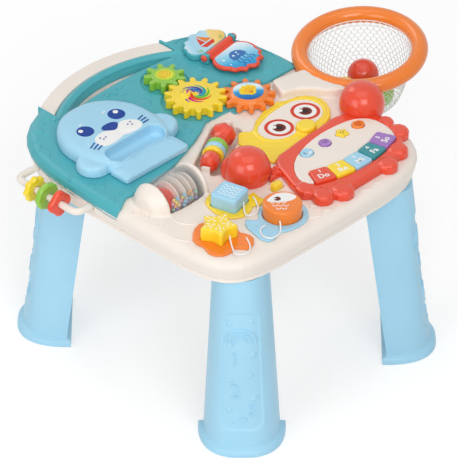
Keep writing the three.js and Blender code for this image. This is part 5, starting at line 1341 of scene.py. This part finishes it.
def fill_beads():
    size, spots = BEAD["radius"], bead_spots()
    turns = [math.pi * (i / 8 - 0.5) for i in range(1, 8)]
    bead = lathe([(0, -size)] + [(size * math.cos(t), size * math.sin(t)) for t in turns] + [(0, size)], 12)
    for i, code in enumerate(BEAD_TINTS):
        balls = [moved(bead, *spot) for spot in spots[i::len(BEAD_TINTS)]]
        piece(f"drum_beads_{i + 1}", gathered(balls), ink(f"bead_{i + 1}", code), body="drum",
              replaces=["drum_beads"])


class TOY_OT_drum(bpy.types.Operator):
    """Turn the clear roller drum, its red cone, pale discs and pastel beads"""
    bl_idname = "toy.drum"
    bl_label = "Roller drum"

    def execute(self, context):
        piece("drum_glass", drum_glass(), clear_plastic(), body="drum",
              replaces=["drum_shell"])
        piece("drum_cone", drum_cone(), plastic("red"), body="drum",
              replaces=["drum_core"])
        discs = gathered([drum_disc(*shares) for shares in DISC_SHARES])
        piece("drum_discs", discs, plastic("cream"), body="drum")
        fill_beads()
        return {"FINISHED"}


# Spindle
RING_TINTS = {"green": "green", "blue": "sky", "yellow": "yellow"}


class TOY_OT_spindle(bpy.types.Operator):
    """Mould the red squid spindle and its three rings"""
    bl_idname = "toy.spindle"
    bl_label = "Squid spindle"

    def execute(self, context):
        for node in ("squid_head", "squid_tail"):
            soften(node, "red")
        chamfer("squid_axle", plastic("cream"))
        for name, tint in RING_TINTS.items():
            soften("ring_" + name, tint)
        return {"FINISHED"}


# Owl
OWL_EYES = ((81.4, -18.8), (134.4, -15.9))
OWL_RADII = {"rim": 20.2, "white": 15.4, "iris": 9.2, "pupil": 4.6}
OWL_GLINTS = ((-4.5, 5.5, 3.45, 16), (1.5, 8.5, 1.38, 12))
OWL_LIFTS = {"iris": 0.32, "pupil": 0.44, "glint": 0.58}
OWL_FEATHERS = (((27, 4), (34, 3), (41, -1)), ((26, -8), (34, -10), (41, -14)),
                ((33, -21), (39, -24), (44, -29)), ((33, -35), (39, -38), (45, -43)))
OWL_FEATHER = {"width": 2.4, "share": 0.7}
BEAK = {"x": 106, "y": -45, "reach": 16}


def clear_of_beak(shape):
    """The beak stands over the inner edge of each eye, so a print stays clear of it"""
    points = []
    for p in shape[0]:
        apart = Vector((p.x - BEAK["x"], p.y - BEAK["y"], 0))
        edge = Vector((BEAK["x"], BEAK["y"], 0)) + apart.normalized() * BEAK["reach"]
        points.append(p if apart.length > BEAK["reach"] else edge)
    return points, shape[1]


def owl_circles(radius):
    return [circle_print(x, y, radius) for x, y in OWL_EYES]


class TOY_OT_owl(bpy.types.Operator):
    """Mould the yellow owl and its cream face, and print the big round eyes"""
    bl_idname = "toy.owl"
    bl_label = "Owl"

    def execute(self, context):
        soften("owl_body", "yellow")
        soften("owl_face", "cream")
        owl = Moulding("owl_body", "owl_face")
        rims = [clear_of_beak(band_print(x, y, OWL_RADII["rim"], OWL_RADII["white"])) for x, y in OWL_EYES]
        owl.print("owl_rims", rims, ink("rim_red", "#d9452f"))
        owl.print("owl_whites", owl_circles(OWL_RADII["white"]), ink("white"))
        owl.print("owl_irises", owl_circles(OWL_RADII["iris"]), ink("brown"), OWL_LIFTS["iris"])
        owl.print("owl_pupils", owl_circles(OWL_RADII["pupil"]), ink("pupil", "#2a0f0b"), OWL_LIFTS["pupil"])
        glints = [circle_print(x + aside, y + up, radius, count=count)
                  for aside, up, radius, count in OWL_GLINTS for x, y in OWL_EYES]
        owl.print("owl_glints", glints, ink("white"), OWL_LIFTS["glint"])
        feathers = [ridge(points, OWL_FEATHER["width"], relief() * OWL_FEATHER["share"])
                    for points in OWL_FEATHERS]
        owl.emboss("owl_feathers", feathers, "yellow")
        return {"FINISHED"}


# Crab keyboard
CLAWS = {"left": ((-25, -65), 120), "right": ((193, -65), 75)}
CLAW = {"radius": 31, "height": 42, "jaw": 15, "jaw_share": 0.62, "seat": 0.3, "sharp": 60}
CLAW_SHARES = ((0.93, 0), (0.975, 0.1), (1, 0.25), (0.995, 0.38), (0.97, 0.5), (0.9, 0.65), (0.8, 0.78),
               (0.66, 0.88), (0.5, 0.95), (0.33, 0.985), (0.15, 1))


def mitten(x, y, radius, height, count):
    """A rounded lump of a claw"""
    low = DECK + CLAW["seat"]
    return loft([ring(x, y, radius * across, low + rise * height, count) for across, rise in CLAW_SHARES])


class TOY_OT_crab(bpy.types.Operator):
    """Mould the red crab, its cream panel and its two big glossy claws"""
    bl_idname = "toy.crab"
    bl_label = "Crab"

    def execute(self, context):
        soften("crab_body", "red")
        soften("crab_panel", "cream")
        for side, ((x, y), bearing) in CLAWS.items():
            reach = CLAW["radius"] - CLAW["jaw"] * CLAW["jaw_share"]
            turn = math.radians(bearing)
            palm = mitten(x, y, CLAW["radius"], CLAW["height"], 48)
            thumb = mitten(x + reach * math.cos(turn), y + reach * math.sin(turn), CLAW["jaw"],
                           CLAW["height"] * CLAW["jaw_share"], 32)
            piece("mitten_" + side, gathered([palm, thumb]), plastic("red"),
                  replaces=["claw_" + side], sharp=CLAW["sharp"])
        return {"FINISHED"}


KEY_ARC = {"x": 92, "y": 31, "radius": 185, "pitch": 9.1}
KEYS = (("do", "red", "1"), ("re", "yellow", "2"), ("mi", "sky", "3"), ("fa", "deep_teal", "4"),
        ("so", "purple", "5"))
KEY_NAME = {"size": 12.5, "bold": 0.28, "out": 4.5}
KEY_DIGIT = {"size": 8.5, "bold": 0.3, "out": -7}
BUTTONS = {"whale": (58, "sky"), "octopus": (92, "purple"), "star": (124, "yellow"), "shell": (154, "orange")}
BUTTON_ROW = {"y": -97, "bow": 3, "half": 92}
# Faces of the buttons, in millimetres from each button's middle
WHALE = {"belly": (0.5, -3.2, 2.2), "belly_wide": 2.2, "eye": (-5, 1, 1.1),
         "smile": ((-6, -2), (-3, -3), (0, -1.5))}
OCTOPUS = {"eyes": ((-2.4, 1.5, 0.9), (2.4, 1.5, 0.9)), "smile": ((-2, -1.2), (0, -2.2), (2, -1.2)),
           "spot_turns": (3.6, 4.2, 4.71, 5.2, 5.8), "spots": (-0.5, 6, 5.6, 0.9)}
STAR = {"eyes": ((-2.2, 1, 1), (2.2, 1, 1)), "smile": ((-1.6, -1.6), (0, -2.4), (1.6, -1.6)),
        "spots": (6, 0.7)}
SHELL = {"curl": (0.6, 5.6, 1.7, 40), "curl_width": 0.9, "shine": (1.5, 6, 1)}
SMILE_WIDTH = 0.6
EYE_LIFT = 0.3


def key_spot(index, radius):
    bearing = (index - (len(KEYS) - 1) / 2) * KEY_ARC["pitch"]
    turn = math.radians(bearing - 90)
    return KEY_ARC["x"] + radius * math.cos(turn), KEY_ARC["y"] + radius * math.sin(turn), bearing


def key_words(text, look, index):
    """A word on a key, upright for a child who sits in front of the crab"""
    x, y, bearing = key_spot(index, KEY_ARC["radius"] + look["out"])
    return moved(words(text, look["size"], look["bold"]), x, y, bearing=bearing)


def dots(spots, count=10):
    return [circle_print(x, y, radius, count=count) for x, y, radius in spots]


def smile(points):
    return stroke(smooth_path(points, 4), SMILE_WIDTH)


def whale_face():
    x, y, radius = WHALE["belly"]
    belly = blob(ring(x, y, radius, wide=WHALE["belly_wide"], count=20), 1)
    return (("belly", [belly], "#eaf7fd", None), ("eye", dots([WHALE["eye"]]), "#17325e", EYE_LIFT),
            ("smile", [smile(WHALE["smile"])], "#17325e", SECOND_LIFT))


def octopus_face():
    up, wide, high, radius = OCTOPUS["spots"]
    spots = [(wide * math.cos(t), up + high * math.sin(t), radius) for t in OCTOPUS["spot_turns"]]
    return (("eyes", dots(OCTOPUS["eyes"]) + [smile(OCTOPUS["smile"])], "#4b2b66", None),
            ("spots", dots(spots), "#cfa9e2", None))


def star_face():
    reach, radius = STAR["spots"]
    turns = [WHOLE / 4 + t for t in around(5)]
    spots = [(reach * math.cos(t), reach * math.sin(t), radius) for t in turns]
    return (("eyes", dots(STAR["eyes"]) + [smile(STAR["smile"])], "#5b3312", None),
            ("spots", dots(spots, 8), "#f0a32c", None))


def shell_face():
    curl = stroke(spiral(0, 0, *SHELL["curl"], 30), SHELL["curl_width"])
    return ("curl", [curl], "#b64a17", None), ("shine", dots([SHELL["shine"]]), "#ffd9ae", None)


FACES = {"whale": whale_face, "octopus": octopus_face, "star": star_face, "shell": shell_face}


def print_button(name, x):
    node = "button_" + name
    y = BUTTON_ROW["y"] + BUTTON_ROW["bow"] * (1 - ((x - KEY_ARC["x"]) / BUTTON_ROW["half"]) ** 2)
    button = Moulding(node, body=node)
    for part, shapes, code, lift in FACES[name]():
        shapes = [moved(shape, x, y) for shape in shapes]
        button.print(f"{node}_{part}", shapes, ink(f"{node}_{part}", code), lift)


class TOY_OT_keys(bpy.types.Operator):
    """Mould the five keys and four buttons, and print their numbers, names and faces"""
    bl_idname = "toy.keys"
    bl_label = "Keys and buttons"

    def execute(self, context):
        for index, (name, tint, digit) in enumerate(KEYS):
            node = "key_" + name
            soften(node, tint)
            letters = [key_words(name.capitalize(), KEY_NAME, index), key_words(digit, KEY_DIGIT, index)]
            Moulding(node, body=node).print("label_" + name, letters, ink("white"))
        for name, (x, tint) in BUTTONS.items():
            soften("button_" + name, tint)
            print_button(name, x)
        soften("power_switch", "yellow")
        return {"FINISHED"}


# Shape sorter
PEGS = {"square": ("sky", -86, -92), "round": ("orange", -55, -159), "star": ("yellow", -148, -133)}
PEG_BEARINGS = {"square": 15, "round": -45}
PLATES = {"square": "yellow", "round": "sky", "star": "orange"}
PLATE_LINES = {
    "square": (((-64, -118), (-59, -114), (-56, -107)), ((-98, -121), (-92, -122), (-86, -122)),
               ((-112, -88), (-113, -96), (-111, -104)), ((-98, -64), (-90, -62), (-82, -64))),
    "round": (((-108, -184), (-101, -178), (-97, -170)), ((-111, -160), (-104, -158), (-98, -156)),
              ((-101, -147), (-95, -149), (-89, -152)), ((-40, -186), (-33, -182), (-28, -177))),
    "star": (((-176, -164), (-181, -156), (-182, -148)), ((-134, -174), (-138, -168), (-140, -161)),
             ((-170, -112), (-164, -106), (-157, -102))),
}
PLATE_LINE = {"width": 2.2, "share": 0.6}
PEG_WAVES = {"rows": 4, "half": 13, "top": 9.6, "apart": 6.4, "rise": 1.7, "turn": 0.78, "width": 1.4}
PEG_RIM = {"half": 16.6, "corner": 4.2, "thick": 0.7, "flat": 0.7}
FISH_EYE = ((-12, 17), (6, 19.5), (19, 11), (22, -3), (14, -6), (2, -1), (-8, 8))
FISH_IRIS = (0.5, 10, 4.6, 20, SECOND_LIFT)
FISH_GLINT = (-1.5, 12, 1.4, 10, THIRD_LIFT)
FISH_SCALE = {"arc": ((-2.9, 1.8), (-1.6, -0.8), (1.6, -0.8), (2.9, 1.8)), "width": 1.2, "apart": 7.4}
# Each row of scales: where it starts, how many it has, how far up it lies
FISH_SCALE_ROWS = ((-13, 3, -1), (-10, 3, -8), (-5, 2, -15))
# Each dash of a tip of the star: from and to which reach, and how far it turns aside
STAR_DASHES = ((5, 8.5, 0), (11, 15, 0), (18, 21, 0), (12, 15, 0.36), (12, 15, -0.36))
STAR_DASH_WIDTH = 2


def on_peg(kind, shape, turn=0.0):
    """A shape made about a peg's middle, moved to its peg"""
    return moved(shape, *PEGS[kind][1:], bearing=PEG_BEARINGS.get(kind, 0) + turn)


def rounded_square(half, corner):
    points = []
    for x, y, start in ((1, 1, 0), (-1, 1, 90), (-1, -1, 180), (1, -1, 270)):
        for step in range(4):
            turn = math.radians(start + 30 * step)
            points.append(Vector((x * (half - corner) + corner * math.cos(turn),
                                  y * (half - corner) + corner * math.sin(turn), 0)))
    return points


def print_square_peg(peg):
    """White waves inside a low moulded rim"""
    half, waves = PEG_WAVES["half"], []
    for row in range(PEG_WAVES["rows"]):
        up = PEG_WAVES["top"] - PEG_WAVES["apart"] * row
        path = [Vector((i - half, up + PEG_WAVES["rise"] * math.sin(i * PEG_WAVES["turn"]), 0))
                for i in range(2 * half + 1)]
        waves.append(on_peg("square", stroke(path, PEG_WAVES["width"]), -90))
    peg.print("peg_waves", waves, ink("wave_white", "#e6f5fd"))
    path = rounded_square(PEG_RIM["half"], PEG_RIM["corner"])
    rim = tube(path, PEG_RIM["thick"], 6, flat=PEG_RIM["flat"], closed=True)
    peg.emboss("peg_rim", [on_peg("square", rim)], "sky")


def print_round_peg(peg):
    """A fish's eye and its scales"""
    _, x, y = PEGS["round"]
    eye = smooth_path([(x + aside, y + up) for aside, up in FISH_EYE], 4, closed=True)
    peg.print("peg_eye", [blob(eye, 3)], ink("white"))
    for name, tint, (aside, up, radius, count, lift) in (("peg_iris", "brown", FISH_IRIS),
                                                         ("peg_glint", "white", FISH_GLINT)):
        peg.print(name, [circle_print(x + aside, y + up, radius, count=count)], ink(tint), lift)
    scale = smooth_path(FISH_SCALE["arc"], 4)
    scales = []
    for first, count, up in FISH_SCALE_ROWS:
        for i in range(count):
            place_in_row = Vector((first + FISH_SCALE["apart"] * i, up, 0))
            scales.append(on_peg("round", stroke([p + place_in_row for p in scale], FISH_SCALE["width"])))
    peg.print("peg_scales", scales, ink("white"))


def print_star_peg(peg):
    """Pale dashes that run out to the tips"""
    _, x, y = PEGS["star"]
    dashes = []
    for turn in around(5):
        for near, far, aside in STAR_DASHES:
            way = Vector((math.cos(WHOLE / 4 + turn + aside), math.sin(WHOLE / 4 + turn + aside), 0))
            ends = [Vector((x, y, 0)) + way * reach for reach in (near, far)]
            dashes.append(stroke(ends, STAR_DASH_WIDTH))
    peg.print("peg_dashes", dashes, ink("dash_white", "#fdf6d8"))


class TOY_OT_sorter(bpy.types.Operator):
    """Mould the three pegs and their fish plates, with waves, scales and dashes on the pegs"""
    bl_idname = "toy.sorter"
    bl_label = "Shape sorter"

    def execute(self, context):
        for kind, (tint, _, _) in PEGS.items():
            soften("peg_" + kind, tint)
        for kind, tint in PLATES.items():
            node = "plate_" + kind
            soften(node, tint)
            lines = [ridge(points, PLATE_LINE["width"], relief() * PLATE_LINE["share"])
                     for points in PLATE_LINES[kind]]
            Moulding(node, "peg_" + kind).emboss("relief_" + node, lines, tint)
        for kind, print_peg in zip(PEGS, (print_square_peg, print_round_peg, print_star_peg)):
            print_peg(Moulding("peg_" + kind, body="peg_" + kind))
        return {"FINISHED"}


# Bead rail
RAIL = {"out": -228, "inner": -192, "low": 50, "high": 165, "bend": 24, "radius": 5, "z": 284, "ease": 0.05}


def rail_bend(y, way):
    """The bend from the rail's arm at y to its straight, which lies that way"""
    out, bend = RAIL["out"], RAIL["bend"]
    handles = [Vector((*pair, 0)) for pair in ((out + bend, y), (out, y), (out, y), (out, y - way * bend))]
    return [Vector(p) for p in interpolate_bezier(*handles, 10)]


class TOY_OT_rail(bpy.types.Operator):
    """Bend the cream bead rail and mould its three beads"""
    bl_idname = "toy.rail"
    bl_label = "Bead rail"

    def execute(self, context):
        inner, low, high = RAIL["inner"], RAIL["low"], RAIL["high"]
        route = line((inner, high)) + rail_bend(high, 1) + rail_bend(low, -1)[::-1] + line((inner, low))
        path = [Vector((p.x, p.y, RAIL["z"])) for p in route]
        rod = tube(path, RAIL["radius"] - RAIL["ease"], 20)
        piece("rail_rod", rod, plastic("cream"), replaces=["bead_rod"])
        for tint in ("red", "green", "yellow"):
            soften("bead_" + tint, tint)
        return {"FINISHED"}


# Hoop, net and balls
HOOP = {"x": 284, "y": 27, "z": 311, "middle": 82, "tube": 11.5, "tilt": 5}
TONGUE = {"long": 13, "wide": 42, "thick": 7, "edge": 0.8}
NET = {"top": 70.5, "depth": 85, "drop": 1}
NET_SHARES = ((1, 0), (0.96, -0.25), (0.9, -0.5), (0.8, -0.75), (0.68, -0.92), (0.5, -1), (0, -1))
NET_STRANDS = 96
NET_ROWS = 46
NET_STEP_SHARE = 0.47
NET_END_SHARE = 0.95
NET_LONE_SHARE = 0.78
NET_TWIST = 1400
NET_SHARP = 80
# Each band round the net: how far down it lies, and its thickness beside a strand's
NET_BAND_SHARES = ((0.004, 1.8), (0.06, 1.2), (NET_END_SHARE, 1.3))
BALL = {"ease": 0.2, "seam": 0.16, "seam_turn": 0.035, "steps": 36}
BALL_TILTS = {"red": (0.4, 0.2, 1), "yellow": (-0.3, 0.5, 1), "green": (0.6, -0.4, 1)}


def at_hoop(shape):
    """A shape made about the hoop's middle, tilted and moved to its place"""
    turn = -math.radians(HOOP["tilt"])
    c, s = math.cos(turn), math.sin(turn)
    return [Vector((HOOP["x"] + p.x * c + p.z * s, HOOP["y"] + p.y, HOOP["z"] - p.x * s + p.z * c))
            for p in shape[0]], shape[1]


def hoop_rim():
    """The hoop's tube with the tongue that goes into the shell"""
    middle, side, half_thick = HOOP["middle"], TONGUE["wide"] / 2, TONGUE["thick"] / 2
    reach = middle + HOOP["tube"] + TONGUE["long"]
    hoop = tube(ring(0, 0, middle, count=96), HOOP["tube"], 28, closed=True)
    corners = line((-reach, -side), (-middle, -side), (-middle, side), (-reach, side))
    return at_hoop(gathered([hoop, slab(corners, -half_thick, half_thick, TONGUE["edge"])]))


def net_at(part, turn):
    """A point of the bag: part runs from its rim to the middle of its floor"""
    profile = smooth_path([(r * NET["top"], z * NET["depth"] - NET["drop"]) for r, z in NET_SHARES], 8)
    lengths = [0]
    for a, b in zip(profile, profile[1:]):
        lengths.append(lengths[-1] + (b - a).length)
    goal = part * lengths[-1]
    i = max(1, next((n for n, reach in enumerate(lengths) if reach >= goal), len(lengths) - 1))
    share_of = (goal - lengths[i - 1]) / (lengths[i] - lengths[i - 1])
    spot = profile[i - 1].lerp(profile[i], min(1, share_of))
    return Vector((spot.x * math.cos(turn), spot.x * math.sin(turn), spot.y))


def knot_net():
    """Each strand steps from side to side, and meets its neighbours along every other step"""
    shapes = []
    thick = sizes().strand / MM / 2
    for i in range(NET_STRANDS):
        rows = NET_ROWS if i % 4 < 2 else int(NET_ROWS * NET_LONE_SHARE)
        path = []
        for row in range(rows + 1):
            way = SIDES[(row // 2 + i) % 2]
            turn = WHOLE / NET_STRANDS * (i + way * NET_STEP_SHARE)
            path.append(net_at(NET_END_SHARE * row / NET_ROWS, turn))
        shapes.append(tube(path, thick, 4))
    for part, size in NET_BAND_SHARES:
        shapes.append(tube([net_at(part, a) for a in around(96)], thick * size, 6, closed=True))
    piece("net_bag", at_hoop(gathered(shapes)), thread("net_thread", paint("white"), NET_TWIST),
          replaces=["hoop_net"], sharp=NET_SHARP)


def blow_ball(tint):
    """A hollow play ball with its faint moulding seam"""
    node = "ball_" + tint
    low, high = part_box(node)
    radius = (high - low).z / MM / 2 - BALL["ease"]
    profile = []
    for i in range(1, BALL["steps"]):
        turn = math.pi * (i / BALL["steps"] - 0.5)
        reach = radius + BALL["seam"] * math.exp(-((turn / BALL["seam_turn"]) ** 2))
        profile.append((reach * math.cos(turn), reach * math.sin(turn)))
    shape = lathe([(0, -radius)] + profile + [(0, radius)])
    shape = turned_to(shape, BALL_TILTS[tint], (middle_of(node) - ORIGIN) / MM)
    piece("play_" + node, shape, plastic(tint), body=node, replaces=[node])


class TOY_OT_hoop(bpy.types.Operator):
    """Turn the orange hoop, knot the net bag under it and lay the three balls in it"""
    bl_idname = "toy.hoop"
    bl_label = "Hoop, net and balls"

    def execute(self, context):
        piece("hoop_rim", hoop_rim(), plastic("orange"), replaces=["hoop_ring"])
        knot_net()
        for tint in BALL_TILTS:
            blow_ball(tint)
        return {"FINISHED"}


class TOY_PT_panel(bpy.types.Panel):
    """Lists the toy's pieces in the sidebar"""
    bl_idname = "TOY_PT_panel"
    bl_label = "Activity table"
    bl_space_type = "VIEW_3D"
    bl_region_type = "UI"
    bl_category = "Toy"

    def draw(self, context):
        layout = self.layout
        for operator in OPERATORS:
            layout.operator(operator.bl_idname)
        for name in GROUPS:
            group, box = getattr(context.scene, name), layout.box()
            for setting in group.__annotations__:
                box.prop(group, setting)


GROUPS = {"toy_colours": TOY_colours, "toy_finish": TOY_finish, "toy_sizes": TOY_sizes}
OPERATORS = (TOY_OT_stage, TOY_OT_cords, TOY_OT_shell, TOY_OT_cover, TOY_OT_legs, TOY_OT_gears, TOY_OT_seal,
             TOY_OT_book, TOY_OT_drum, TOY_OT_spindle, TOY_OT_owl, TOY_OT_crab, TOY_OT_keys, TOY_OT_sorter,
             TOY_OT_rail, TOY_OT_hoop)
CLASSES = (*GROUPS.values(), *OPERATORS, TOY_PT_panel)


def register():
    for kind in CLASSES:
        bpy.utils.register_class(kind)
    for name, group in GROUPS.items():
        setattr(bpy.types.Scene, name, bpy.props.PointerProperty(type=group))


def unregister():
    for name in GROUPS:
        delattr(bpy.types.Scene, name)
    for kind in reversed(CLASSES):
        bpy.utils.unregister_class(kind)


def corners(bounds):
    return [[round(float(value), 6) for value in corner] for corner in bounds]


def main():
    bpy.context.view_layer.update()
    register()
    for operator in OPERATORS:
        category, name = operator.bl_idname.split(".")
        getattr(getattr(bpy.ops, category), name)()


if __name__ == "__main__":
    main()
